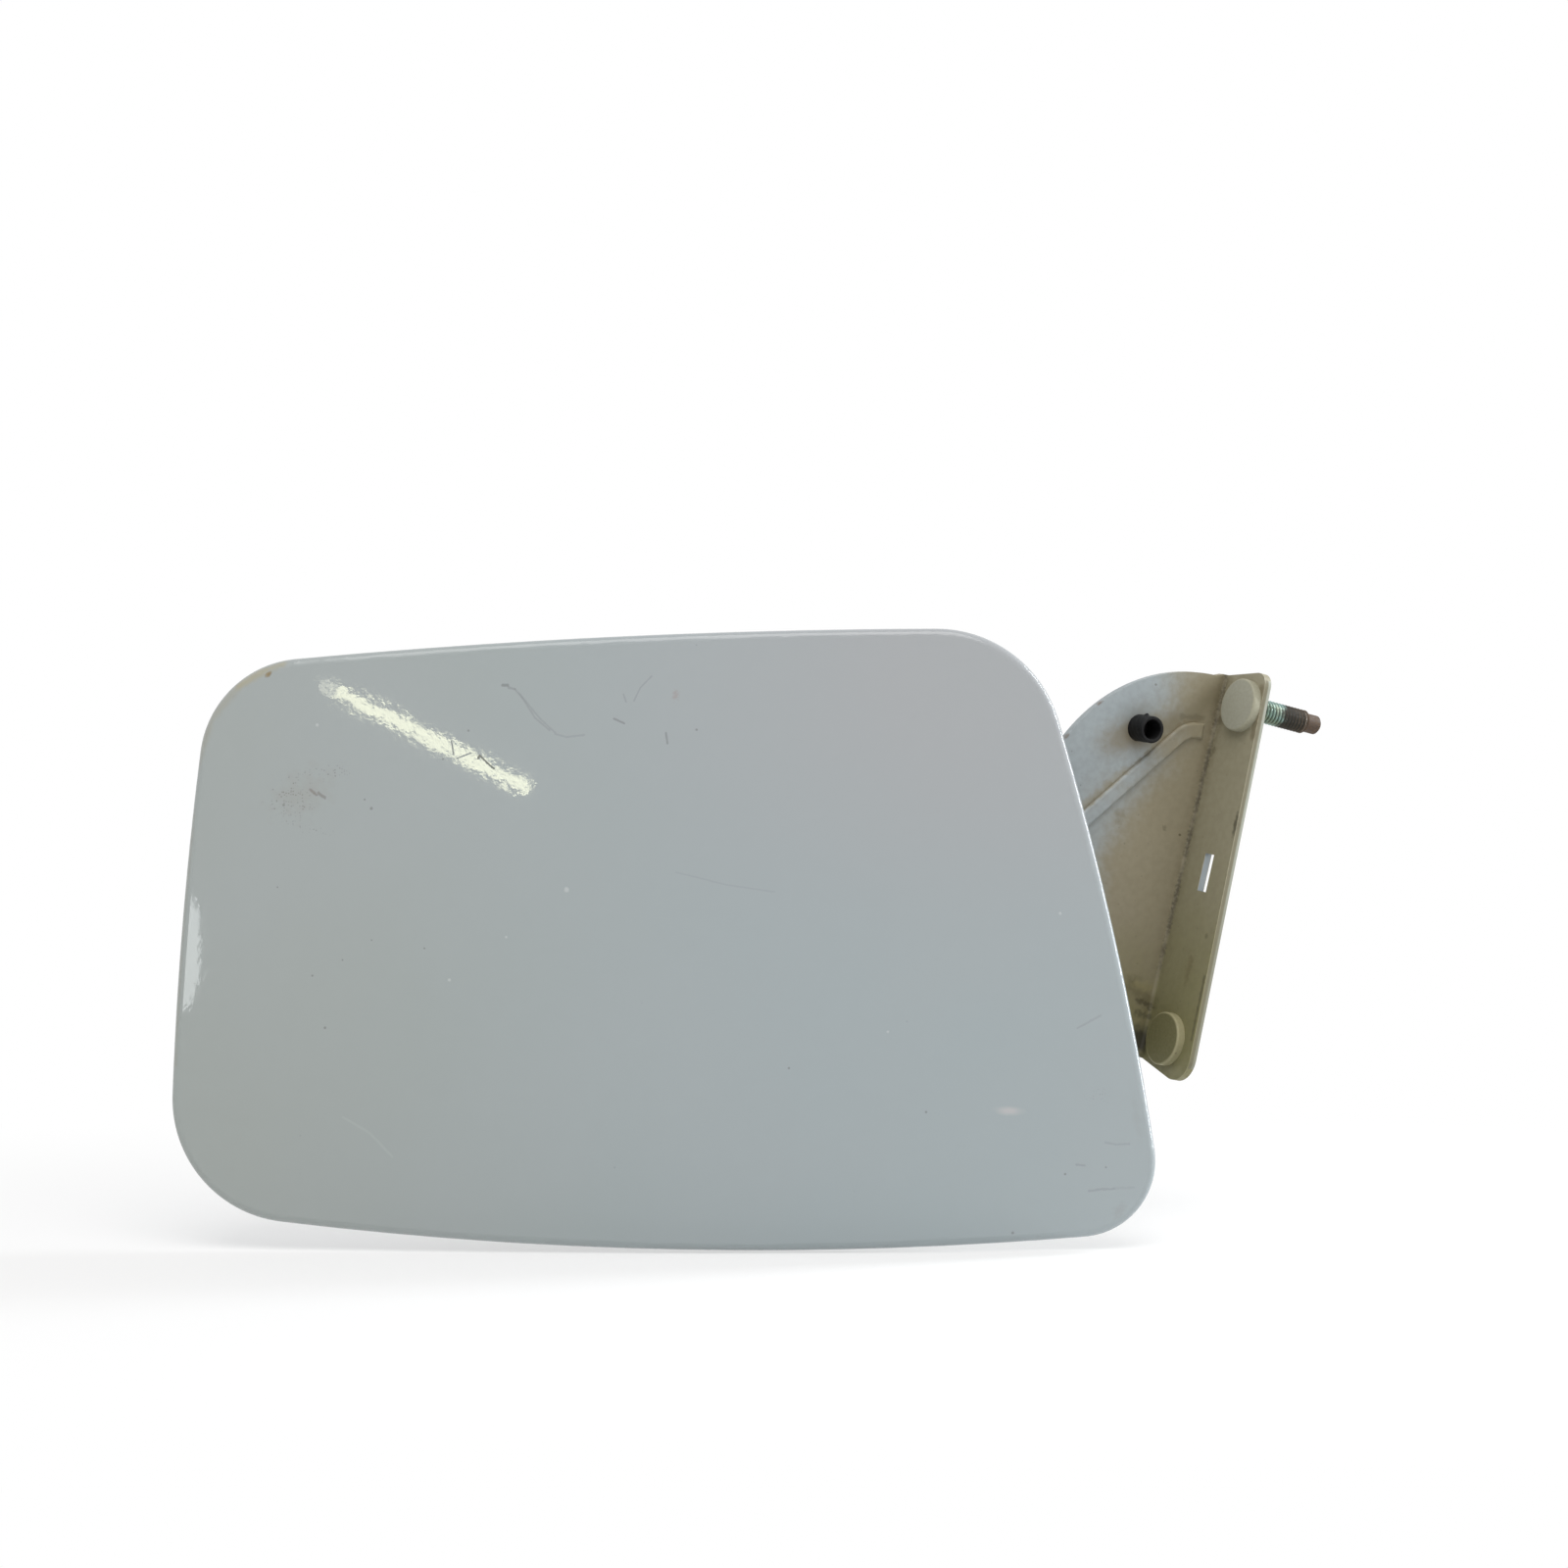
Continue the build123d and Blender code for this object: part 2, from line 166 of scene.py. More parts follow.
# Pale floor under the door: white to the camera, with a share of the shadow kept that fades away from the object
def makeFloor():
    half = studio["floorSize"] * mm / 2
    level = cadBox[0].z - studio["floorGap"] * mm
    mesh = bpy.data.meshes.new("floor")
    mesh.from_pydata([(-half, -half, level), (half, -half, level), (half, half, level), (-half, half, level)],
                     [], [(0, 1, 2, 3)])
    floor = bpy.data.objects.new("floor", mesh)
    scene.collection.objects.link(floor)
    material = bpy.data.materials.new("paleFloor")
    material.use_nodes = True
    tree = material.node_tree
    tree.nodes.clear()
    middle = (cadBox[0] + cadBox[1]) / 2
    reach = (cadBox[1] - cadBox[0]) / 2
    place = addNode(tree, "ShaderNodeTexCoord").outputs["Object"]
    aside = addVector(tree, "ABSOLUTE", addVector(tree, "SUBTRACT", place, (middle.x, middle.y, level)))
    outside = addVector(tree, "MAXIMUM", addVector(tree, "SUBTRACT", aside, (reach.x, reach.y, 0)))
    away = addVector(tree, "LENGTH", outside)
    kept = addRamp(tree, away, 0.0, studio["shadowReach"] * mm, studio["shadowShare"], 0.0)
    share = addTimes(tree, seenDirectly(tree), addMath(tree, "SUBTRACT", 1.0, kept))
    matt = addNode(tree, "ShaderNodeBsdfDiffuse", {"Color": studio["floorColour"]})
    glow = addNode(tree, "ShaderNodeEmission", {"Color": (1, 1, 1, 1), "Strength": 1.0})
    mix = addNode(tree, "ShaderNodeMixShader", {0: share, 1: matt.outputs[0], 2: glow.outputs[0]})
    out = addNode(tree, "ShaderNodeOutputMaterial")
    tree.links.new(mix.outputs[0], out.inputs["Surface"])
    mesh.materials.append(material)


# Large soft lamps, each by its place and what it faces
softLamps = dict(
    topSoftbox=dict(place=(-120, -560, 860), aim=(-130, -20, -20), size=(900, 700), watts=6.5, tint=(1, 0.985, 0.975)),
    rightStrip=dict(place=(420, 95, 40), aim=(-20, -40, -60), size=(70, 700), watts=3.6, tint=(0.93, 0.97, 1)),
)
# Small lamps, each put where the door's face mirrors it at a mark of the face: start, end, width and brightness
mirrorLamps = dict(
    tubeLamp=dict(start=(-78.2, 58.2), end=(-32.1, 35.0), width=3.5, reach=1500.0, glow=13.0, tint=(1, 1, 0.68)),
    tubeEnd=dict(start=(-82.0, 60.2), end=(-78.4, 58.4), width=2.2, reach=1500.0, glow=5.0, tint=(1, 1, 0.78)),
    leftWindow=dict(start=(-115.0, 11.5), end=(-115.6, -17.5), width=10.6, reach=430.0, glow=5.6, tint=(0.96, 1, 1),
                    shape="ELLIPSE"),
)


# An area lamp with its long side and its beam given
def makeLamp(name, place, along, beam, size, watts, tint, shape="RECTANGLE"):
    data = bpy.data.lights.new(name, "AREA")
    data.shape = shape
    data.size, data.size_y = (side * mm for side in size)
    data.energy = watts
    data.color = tint
    back = -beam.normalized()
    side = (along - along.dot(back) * back).normalized()
    turned = Matrix((side, back.cross(side), back)).transposed()
    holder = bpy.data.objects.new(name, data)
    holder.location = place * mm
    holder.rotation_euler = turned.to_euler()
    scene.collection.objects.link(holder)


def makeSoftLamp(name, place, aim, size, watts, tint):
    place, aim = Vector(place), Vector(aim)
    makeLamp(name, place, Vector((0, 0, 1)).cross(aim - place), aim - place, size, watts, tint)


# The lamp reaches from the mirrored place of the mark's one side to that of the other; its power is brightness times
# area times pi
def makeMirrorLamp(name, start, end, width, reach, glow, tint, shape="RECTANGLE"):
    run = Vector(end) - Vector(start)
    over = Vector((-run.y, run.x)).normalized() * width / 2
    middle = (Vector(start) + Vector(end)) / 2
    along = mirrored(*end, reach) - mirrored(*start, reach)
    across = mirrored(*(middle + over), reach) - mirrored(*(middle - over), reach)
    place = mirrored(*middle, reach)
    area = along.length * across.length * mm * mm * (math.pi / 4 if shape == "ELLIPSE" else 1)
    makeLamp(name, place, along, facePoint(*middle) - place, (along.length, across.length), glow * math.pi * area,
             tint, shape)


scene.view_settings.view_transform = "Standard"
makeCamera()
makeRoom()
makeFloor()
for name, lamp in softLamps.items():
    makeSoftLamp(name, **lamp)
for name, lamp in mirrorLamps.items():
    makeMirrorLamp(name, **lamp)
print("camera, room and lamps set")


# A node group with its named inputs, as name: first value, and one output
def newGroup(name, inputs, output):
    tree = bpy.data.node_groups.new(name, "ShaderNodeTree")
    for socket, value in inputs.items():
        kind = "NodeSocketVector" if isinstance(value, tuple) else "NodeSocketFloat"
        tree.interface.new_socket(socket, in_out="INPUT", socket_type=kind).default_value = value
    tree.interface.new_socket(output, in_out="OUTPUT", socket_type="NodeSocketFloat")
    return tree, tree.nodes.new("NodeGroupInput").outputs, tree.nodes.new("NodeGroupOutput").inputs


# Noise about zero
def addNoise(tree, place, scale, detail=2.0, rough=0.5):
    noise = addNode(tree, "ShaderNodeTexNoise", {"Vector": place, "Scale": scale, "Detail": detail,
                                                 "Roughness": rough})
    return addMath(tree, "SUBTRACT", noise.outputs[0], 0.5)


# Full inside the edge and nothing past it, with the edge shifted by noise
def fadeOut(tree, reach, given):
    noise = addNoise(tree, given["Place"], given["Grain"], 3.0)
    shifted = addMath(tree, "ADD", reach, addTimes(tree, given["Ragged"], noise))
    return addRamp(tree, shifted, addMath(tree, "SUBTRACT", 1.0, given["Soft"]), 1.0, 1.0, 0.0)


markEdge = {"Soft": 0.6, "Ragged": 0.6, "Grain": 1.0}      # a mark's edge, unless the mark says otherwise


# Oval spot: the way from its centre, turned back and divided by its half widths, is one at its edge
def makeSpotMask():
    tree, given, out = newGroup("spotMask", {"Place": (0, 0, 0), "Centre": (0, 0, 0), "Size": (1, 1, 1), "Turn": 0.0,
                                             **markEdge}, "Mask")
    aside = addVector(tree, "SUBTRACT", given["Place"], given["Centre"])
    turned = addNode(tree, "ShaderNodeVectorRotate", {"Vector": aside, "Angle": given["Turn"]},
                     rotation_type="Z_AXIS", invert=True).outputs[0]
    reach = addVector(tree, "LENGTH", addVector(tree, "DIVIDE", turned, given["Size"]))
    tree.links.new(fadeOut(tree, reach, given), out["Mask"])
    return tree


# Straight stroke: the way to the nearest point of its line, divided by its half width, is one at its edge
def makeStrokeMask():
    tree, given, out = newGroup("strokeMask", {"Place": (0, 0, 0), "Start": (0, 0, 0), "End": (1, 0, 0), "Width": 1.0,
                                               **markEdge}, "Mask")
    run = addVector(tree, "SUBTRACT", given["End"], given["Start"])
    aside = addVector(tree, "SUBTRACT", given["Place"], given["Start"])
    share = addMath(tree, "DIVIDE", addVector(tree, "DOT_PRODUCT", aside, run),
                    addVector(tree, "DOT_PRODUCT", run, run), clamp=True)
    away = addVector(tree, "LENGTH", addVector(tree, "SUBTRACT", aside, addScale(tree, run, share)))
    tree.links.new(fadeOut(tree, addMath(tree, "DIVIDE", away, given["Width"]), given), out["Mask"])
    return tree


# Scattered round specks: near a random point, and only for a share of the points
def makeSpeckMask():
    tree, given, out = newGroup("speckMask", {"Place": (0, 0, 0), "Scale": 1.0, "Radius": 0.2, "Share": 0.2}, "Mask")
    cells = addNode(tree, "ShaderNodeTexVoronoi", {"Vector": given["Place"], "Scale": given["Scale"]})
    near = addRamp(tree, cells.outputs["Distance"], 0.0, given["Radius"], 1.0, 0.0)
    lot = addNode(tree, "ShaderNodeSeparateColor", {0: cells.outputs["Color"]}).outputs[0]
    picked = addMath(tree, "LESS_THAN", lot, given["Share"])
    tree.links.new(addTimes(tree, near, picked), out["Mask"])
    return tree


fineShare = 0.5         # of the fine noise in the skin
mottleReach = 0.22      # noise this far from its middle gives nothing or one


# Sprayed paint's skin: fine noise and a coarser one added
def makePaintSkin():
    tree, given, out = newGroup("paintSkin", {"Place": (0, 0, 0), "Fine": 0.9, "Coarse": 0.2}, "Height")
    fine = addTimes(tree, addNoise(tree, given["Place"], given["Fine"], 2.0), fineShare)
    coarse = addNoise(tree, given["Place"], given["Coarse"], 1.0)
    tree.links.new(addMath(tree, "ADD", fine, coarse), out["Height"])
    return tree


# Uneven tone: noise stretched to run from nothing to one
def makeMottle():
    tree, given, out = newGroup("mottle", {"Place": (0, 0, 0), "Scale": 0.1, "Detail": 4.0}, "Mask")
    noise = addNoise(tree, given["Place"], given["Scale"], given["Detail"])
    tree.links.new(addRamp(tree, noise, -mottleReach, mottleReach), out["Mask"])
    return tree


groups = dict(spot=makeSpotMask(), stroke=makeStrokeMask(), specks=makeSpeckMask(), skin=makePaintSkin(),
              mottle=makeMottle())


def addGroup(tree, group, inputs):
    return addNode(tree, "ShaderNodeGroup", inputs, node_tree=groups[group]).outputs[0]


def addMottle(tree, place, scale, detail):
    return addGroup(tree, "mottle", {"Place": place, "Scale": scale, "Detail": detail})


def addSpecks(tree, place, scale, radius, share):
    return addGroup(tree, "specks", {"Place": place, "Scale": scale, "Radius": radius, "Share": share})


def addSkin(tree, place, fine, coarse):
    return addGroup(tree, "skin", {"Place": place, "Fine": fine, "Coarse": coarse})


# Object coordinates in millimetres, as across, up and depth behind the crowned face
def doorPlace(tree):
    place = addScale(tree, addNode(tree, "ShaderNodeTexCoord").outputs["Object"], 1 / mm)
    aside = addNode(tree, "ShaderNodeSeparateXYZ", {0: addVector(tree, "SUBTRACT", place, doorFace["centre"])}).outputs
    flat = addNode(tree, "ShaderNodeCombineXYZ", {0: aside[0], 1: aside[2]}).outputs[0]
    crown = addMath(tree, "DIVIDE", addVector(tree, "DOT_PRODUCT", flat, flat), 2 * doorFace["crownRadius"])
    depth = addMath(tree, "SUBTRACT", aside[1], crown)
    return addNode(tree, "ShaderNodeCombineXYZ", {0: aside[0], 1: aside[2], 2: depth}).outputs[0]


# Object coordinates in millimetres, along the shank, up the bend and out of the plate
def bracketPlace(tree):
    place = addScale(tree, addNode(tree, "ShaderNodeTexCoord").outputs["Object"], 1 / mm)
    ways = [addVector(tree, "DOT_PRODUCT", place, tuple(way)) for way in (shankWay, creaseWay, plateWay)]
    return addNode(tree, "ShaderNodeCombineXYZ", dict(enumerate(ways))).outputs[0]


# Normal of the crowned face where the facet lies on it, and the mesh's own elsewhere, with the mask of the face
def faceNormal(tree, across, up):
    crown = addNode(tree, "ShaderNodeCombineXYZ", {0: across, 1: -doorFace["crownRadius"], 2: up}).outputs[0]
    crown = addNode(tree, "ShaderNodeVectorTransform", {0: addVector(tree, "NORMALIZE", crown)}, vector_type="NORMAL",
                    convert_from="OBJECT", convert_to="WORLD").outputs[0]
    meshNormals = addNode(tree, "ShaderNodeNewGeometry").outputs
    facing = addVector(tree, "DOT_PRODUCT", crown, meshNormals["True Normal"])
    onCrown = addMath(tree, "GREATER_THAN", facing, math.cos(math.radians(doorFace["facetTilt"])))
    turn = addVector(tree, "SUBTRACT", crown, meshNormals["Normal"])
    exact = addVector(tree, "ADD", meshNormals["Normal"], addScale(tree, turn, onCrown))
    return addVector(tree, "NORMALIZE", exact), onCrown


def splitPlace(tree, place):
    return addNode(tree, "ShaderNodeSeparateXYZ", {0: place}).outputs


# Mask of one mark: a spot at its place, or strokes from point to point joined by the larger of them
def markMask(tree, place, mark):
    edge = {name: mark.get(name.lower(), usual) for name, usual in markEdge.items()}
    mask = None
    if "at" in mark:
        mask = addGroup(tree, "spot", {"Place": place, "Centre": mark["at"], "Size": mark["size"],
                                       "Turn": math.radians(mark.get("turn", 0.0)), **edge})
    points = mark.get("line", [])
    for start, end in zip(points, points[1:]):
        part = addGroup(tree, "stroke", {"Place": place, "Start": start, "End": end, "Width": mark["width"], **edge})
        mask = part if mask is None else addMath(tree, "MAXIMUM", mask, part)
    if "specks" in mark:
        mask = addTimes(tree, mask, addSpecks(tree, place, *mark["specks"]))
    return mask


# Lays the marks over a colour one by one, and over a roughness where the mark has one
def addMarks(tree, place, colour, roughness, marks):
    for mark in marks:
        mask = addTimes(tree, markMask(tree, place, mark), mark["share"])
        colour = addBlend(tree, mask, colour, mark["tone"])
        if "rough" in mark:
            roughness = addLevel(tree, mask, roughness, mark["rough"])
    return colour, roughness


def newMaterial(name):
    material = bpy.data.materials.new(name)
    material.use_nodes = True
    material.node_tree.nodes.clear()
    return material, material.node_tree


# The shader itself: linked or plain colour, roughness and metallic, and a bump of a given height
def finishMaterial(tree, colour, roughness, metallic, height, depth, normal=None, specular=0.5):
    relief = {"Height": height, "Distance": depth * mm}
    if normal is not None:
        relief["Normal"] = normal
    bump = addNode(tree, "ShaderNodeBump", relief)
    shader = addNode(tree, "ShaderNodeBsdfPrincipled",
                     {"Base Color": colour, "Roughness": roughness, "Metallic": metallic, "Normal": bump.outputs[0],
                      "Specular IOR Level": specular})
    out = addNode(tree, "ShaderNodeOutputMaterial")
    tree.links.new(shader.outputs[0], out.inputs["Surface"])


# Tones; the ways across, up and inwards over which they change; cloud as scale and detail; dust as scale, radius and
# share; skin as fine and coarse scale
doorPaint = dict(
    leftTone=(0.336, 0.366, 0.352), rightTone=(0.328, 0.38, 0.396), paleTone=(0.352, 0.384, 0.396),
    litTopTone=(0.372, 0.378, 0.39), backTone=(0.345, 0.37, 0.375), sideReach=(-110.0, 40.0), litTopReach=(-30.0, 70.0),
    litTopSide=(-60.0, 80.0), backDepth=(1.6, 2.2), cloud=(0.012, 2.0), cloudShare=0.5, dust=(0.16, 0.055, 0.16),
    dustShare=0.35, roughness=0.03, backRoughness=0.3, rollRoughness=0.17, skin=(0.7, 0.2), skinDepth=0.0095,
    rollSkin=0.1,
)
frontDepth = 1.4      # half depth of a spot on the face, so that it stays off the back


def onFace(across, up):
    return (across, up, 0.0)


def faceLine(*points):
    return [onFace(*point) for point in points]


graphite = (0.17, 0.18, 0.18)
dustGrey = (0.16, 0.155, 0.14)
smudgeDust = (1.8, 0.48, 0.5)      # scale, radius and share
doorMarks = [
    # yellowed edge and rust chip at the upper free corner
    dict(line=faceLine((-112.0, 40), (-108.3, 51.5), (-101.6, 59.4)), width=1.9, tone=(0.33, 0.315, 0.25), share=0.45,
         soft=0.9, grain=0.4),
    dict(line=faceLine((-101.6, 59.4), (-96.0, 62.9), (-91.0, 64.8)), width=1.7, tone=(0.38, 0.33, 0.19), share=0.5,
         soft=0.9, ragged=1.0, grain=0.4),
    dict(at=onFace(-94.3, 62.2), size=(1.3, 0.7, frontDepth), turn=40, tone=(0.22, 0.15, 0.05), share=0.8, soft=0.7,
         grain=1.6, rough=0.5),
    dict(line=faceLine((-112.5, 30), (-115.5, -2), (-117, -30)), width=1.3, tone=(0.30, 0.29, 0.23), share=0.35,
         soft=0.8, grain=0.4),
    # dusty smudge with a brown scuff
    dict(at=onFace(-86.0, 34.0), size=(10.5, 7.0, frontDepth), turn=28, tone=(0.30, 0.295, 0.265), share=0.3,
         soft=0.95, ragged=1.6, grain=0.4, rough=0.08),
    dict(line=faceLine((-93.5, 31.0), (-92.0, 34.5), (-87.5, 38.0), (-81.0, 39.8), (-75.5, 38.6)), width=1.6,
         tone=dustGrey, share=0.5, soft=0.9, ragged=1.6, grain=0.4, specks=smudgeDust),
    dict(line=faceLine((-93.5, 31.0), (-91.0, 28.6), (-86.0, 25.8), (-79.5, 24.6)), width=1.3, tone=dustGrey,
         share=0.45, soft=0.9, ragged=1.6, grain=0.4, specks=smudgeDust),
    dict(at=onFace(-88.5, 32.6), size=(7.4, 6.6, frontDepth), turn=20, tone=dustGrey, share=0.75, soft=0.8, ragged=1.6,
         grain=0.4, specks=smudgeDust),
    dict(at=onFace(-78.8, 39.4), size=(6.0, 2.2, frontDepth), turn=24, tone=dustGrey, share=0.65, soft=0.8, ragged=1.6,
         grain=0.4, specks=smudgeDust),
    dict(line=faceLine((-84.1, 34.9), (-82.7, 33.7)), width=0.5, tone=(0.15, 0.11, 0.10), share=0.5, soft=0.8,
         ragged=1.0, grain=1.6, rough=0.3),
    dict(line=faceLine((-82.2, 34.1), (-80.7, 33.0)), width=0.55, tone=(0.14, 0.12, 0.11), share=0.5, soft=0.8,
         ragged=1.0, grain=1.6, rough=0.3),
    # pencil-fine scratches, some in pairs
    dict(line=faceLine((-38.6, 59.5), (-37.5, 59.5)), width=0.5, tone=graphite, share=0.6, ragged=1.0, grain=1.6),
    dict(line=faceLine((-37.2, 58.9), (-35.8, 58.6)), width=0.4, tone=graphite, share=0.35, ragged=1.0, grain=1.6),
    dict(line=faceLine((-35.8, 58.6), (-33.8, 56.2), (-31.0, 51.8), (-27.6, 48.9)), width=0.3, tone=graphite,
         share=0.27, ragged=1.0),
    dict(line=faceLine((-34.8, 57.7), (-32.3, 54.6), (-29.6, 51.4), (-26.2, 48.3)), width=0.3, tone=graphite,
         share=0.25, ragged=1.0),
    dict(line=faceLine((-26.2, 48.0), (-23.6, 47.3), (-19.4, 47.8)), width=0.34, tone=graphite, share=0.2, ragged=1.0),
    dict(line=faceLine((-12.4, 51.6), (-10.0, 50.5)), width=0.34, tone=graphite, share=0.55),
    dict(line=faceLine((-7.7, 55.8), (-6.3, 58.8), (-3.6, 61.6)), width=0.26, tone=graphite, share=0.27, ragged=1.0),
    dict(line=faceLine((-10.2, 57.4), (-9.6, 55.6)), width=0.26, tone=graphite, share=0.3, ragged=1.0),
    dict(line=faceLine((-0.2, 48.2), (0.2, 45.8)), width=0.36, tone=graphite, share=0.5),
    dict(line=faceLine((-50.7, 46.4), (-50.2, 43.2)), width=0.24, tone=graphite, share=0.7, rough=0.4),
    dict(line=faceLine((-49.4, 42.3), (-46.2, 43.5)), width=0.2, tone=graphite, share=0.6, ragged=1.0, rough=0.4),
    dict(line=faceLine((-44.4, 42.2), (-44.0, 43.0), (-42.4, 41.4), (-40.6, 39.8)), width=0.3,
         tone=(0.15, 0.15, 0.12), share=0.8, ragged=1.0, rough=0.5),
    dict(at=onFace(2.1, 57.2), size=(1.1, 1.9, frontDepth), turn=-12, tone=(0.31, 0.25, 0.22), share=0.42, soft=0.9,
         ragged=1.6, grain=1.6),
    # long faint rubs, and a small pale glint painted as a reflection
    dict(line=faceLine((2.3, 15.5), (14.0, 12.6), (25.3, 10.9)), width=0.28, tone=(0.25, 0.27, 0.28), share=0.22),
    dict(line=faceLine((-76.4, -42.3), (-70.0, -46.0), (-64.8, -51.5)), width=0.4, tone=(0.43, 0.46, 0.46), share=0.25),
    # painted reflection: a small pale, slightly pink glint on the face
    dict(at=onFace(80.6, -40.8), size=(4.6, 1.4, frontDepth), turn=-3, tone=(0.5, 0.48, 0.48), share=0.7, soft=0.95,
         grain=0.4),
    dict(line=faceLine((96.8, -21.4), (99.0, -20.2), (102.3, -18.4)), width=0.35, tone=(0.24, 0.25, 0.25), share=0.3,
         ragged=1.0),
    # scuffs and dirt at the lower hinge corner
    dict(line=faceLine((103.6, -48.5), (106.0, -49.0), (109.2, -48.9)), width=0.34, tone=graphite, share=0.2,
         ragged=1.6, rough=0.2),
    dict(line=faceLine((96.7, -53.7), (98.6, -53.9)), width=0.36, tone=graphite, share=0.28, ragged=1.0, rough=0.2),
    dict(line=faceLine((99.6, -60.0), (103.0, -59.6), (105.6, -59.6)), width=0.38, tone=graphite, share=0.26,
         ragged=1.6, rough=0.2),
    dict(line=faceLine((105.8, -59.4), (110.4, -59.3)), width=0.4, tone=graphite, share=0.12, ragged=1.6),
    dict(at=onFace(106.9, -64.8), size=(3.2, 1.8, frontDepth), turn=55, tone=(0.25, 0.24, 0.22), share=0.2, soft=0.95,
         ragged=1.6),
    dict(at=onFace(101.1, -37.4), size=(4.2, 3.4, frontDepth), tone=dustGrey, share=0.3, soft=0.9,
         ragged=1.6, grain=0.4, specks=smudgeDust),
    dict(at=onFace(111.0, -43.0), size=(1.5, 8.0, frontDepth), turn=10, tone=(0.27, 0.28, 0.26), share=0.15, soft=0.95,
         ragged=1.6, grain=0.4),
]
# Small dark dots and pale nibs in the paint: across, up and radius
darkDots = [(-69.6, 30.5, 0.5), (-71.2, 32.6, 0.35), (-90.5, 31.3, 0.45), (-46.7, 48.8, 0.4), (-52.7, 42.1, 0.35),
            (94.0, -55.9, 0.4), (81.6, -69.8, 0.5), (28.7, -30.5, 0.4), (7.0, 49.0, 0.4), (61.0, -41.0, 0.4),
            (103.7, -54.4, 0.3), (-80.6, -21.2, 0.4), (-83.6, -8.9, 0.38), (-76.4, -5.2, 0.28), (-57.0, -2.4, 0.3),
            (-69.5, -0.5, 0.28), (-91.9, 11.9, 0.28)]
paleNibs = [(-23.5, 11.4, 0.8), (92.7, 5.7, 0.5), (52.0, -22.0, 0.4), (-82.6, 50.2, 0.5), (-51.1, -9.8, 0.5),
            (-37.7, 0.3, 0.4)]
dotLooks = ((darkDots, dict(tone=(0.15, 0.15, 0.14), share=0.55)), (paleNibs, dict(tone=(0.56, 0.58, 0.58), share=0.5)))
for dots, look in dotLooks:
    doorMarks += [dict(at=onFace(across, up), size=(radius, radius, frontDepth), **look) for across, up, radius in dots]


# Glossy white skin, a little yellower at its free side and lighter towards the top right as painted light, with fine
# dust, marks and a sprayed surface
def makeDoorPaint():
    p = doorPaint
    material, tree = newMaterial("doorPaint")
    place = doorPlace(tree)
    across, up, depth = splitPlace(tree, place)
    colour = addBlend(tree, addRamp(tree, across, *p["sideReach"]), p["leftTone"], p["rightTone"])
    # painted light: the top right of the face is painted lighter, as if lit from above
    litUpRight = addTimes(tree, addRamp(tree, up, *p["litTopReach"]), addRamp(tree, across, *p["litTopSide"]))
    colour = addBlend(tree, litUpRight, colour, p["litTopTone"])
    cloud = addMottle(tree, place, *p["cloud"])
    colour = addBlend(tree, addTimes(tree, cloud, p["cloudShare"]), colour, p["paleTone"])
    dust = addSpecks(tree, place, *p["dust"])
    colour = addBlend(tree, addTimes(tree, dust, p["dustShare"]), colour, graphite)
    colour, roughness = addMarks(tree, place, colour, p["roughness"], doorMarks)
    behind = addRamp(tree, depth, *p["backDepth"])
    colour = addBlend(tree, behind, colour, p["backTone"])
    roughness = addLevel(tree, behind, roughness, p["backRoughness"])
    skin = addSkin(tree, place, *p["skin"])
    normal, onCrown = faceNormal(tree, across, up)
    skin = addTimes(tree, skin, addLevel(tree, onCrown, p["rollSkin"], 1.0))
    roughness = addMath(tree, "MAXIMUM", roughness, addLevel(tree, onCrown, p["rollRoughness"], 0.0))
    finishMaterial(tree, colour, roughness, 0.0, skin, p["skinDepth"], normal)
    return material


# Tones; each reach is a ramp's two places and, where they aren't nothing and one, its two levels; noises as scale,
# detail and roughness; specks as scale, radius and share
bracketPaint = dict(
    litCoolTone=(0.325, 0.365, 0.38), warmTone=(0.276, 0.243, 0.162), lowShadeAndDirtTone=(0.215, 0.195, 0.098),
    flangeLitTone=(0.295, 0.27, 0.185), flangeLowShadeAndDirt=(0.215, 0.2, 0.095), edgeHighlightTone=(0.45, 0.48, 0.42),
    cutTone=(0.135, 0.12, 0.068), slotShadeTone=(0.24, 0.265, 0.275), dirtTone=(0.07, 0.058, 0.03),
    bandTone=(0.13, 0.105, 0.055), mottle=(0.07, 4.0), fine=(0.5, 3.0), unevenness=(9.0, 3.0), warmSlope=-0.26,
    warmReach=(-24.0, 2.0), lowShadeAndDirtReach=(-50.0, -84.0), flangeShadeAndDirtReach=(-22.0, -84.0), flangeStart=(-2.6, -2.05),
    flangeFoot=(-10.0, -9.2), fineDirt=0.1, lineNoise=(1.5, 4.0, 0.7), lineShift=2.6, lineReach=(1.2, 0.2),
    gapNoise=(0.22, 3.0), gapReach=(-0.14, 0.06, 0.25, 1.0), bandReach=(4.2, 0.2), bandFade=(-34.0, -4.0, 0.3, 0.6),
    bandPatch=(0.35, 1.0), bendEnd=(-80.0, -62.0), specks=(0.42, 0.16, 0.2), speckShare=0.4, edgeSlope=0.0416,
    edgeReach=(6.2, 6.4), cutFront=(-1.9, -1.7), cutShare=0.8, rimHighlightReach=(-1.0, -0.6), rimHighlightFade=(-20.0, -60.0, 0.6, 0.3),
    slotFront=(-1.95, -1.8), slotBack=(-0.05, -0.2), slotOffset=-0.2, slotReach=(2.35, 2.05), roughness=0.42,
    roughSpread=0.18, skin=(2.2, 0.7), skinDepth=0.02,
)
plateLevel, flangeLevel = -10.0, -2.0      # front faces: out of the plate, and along the shank


def onPlate(along, up):
    return (along, up, plateLevel)


def plateLine(*points):
    return [onPlate(*point) for point in points]


def onFlange(up, out):
    return (flangeLevel, up, out)


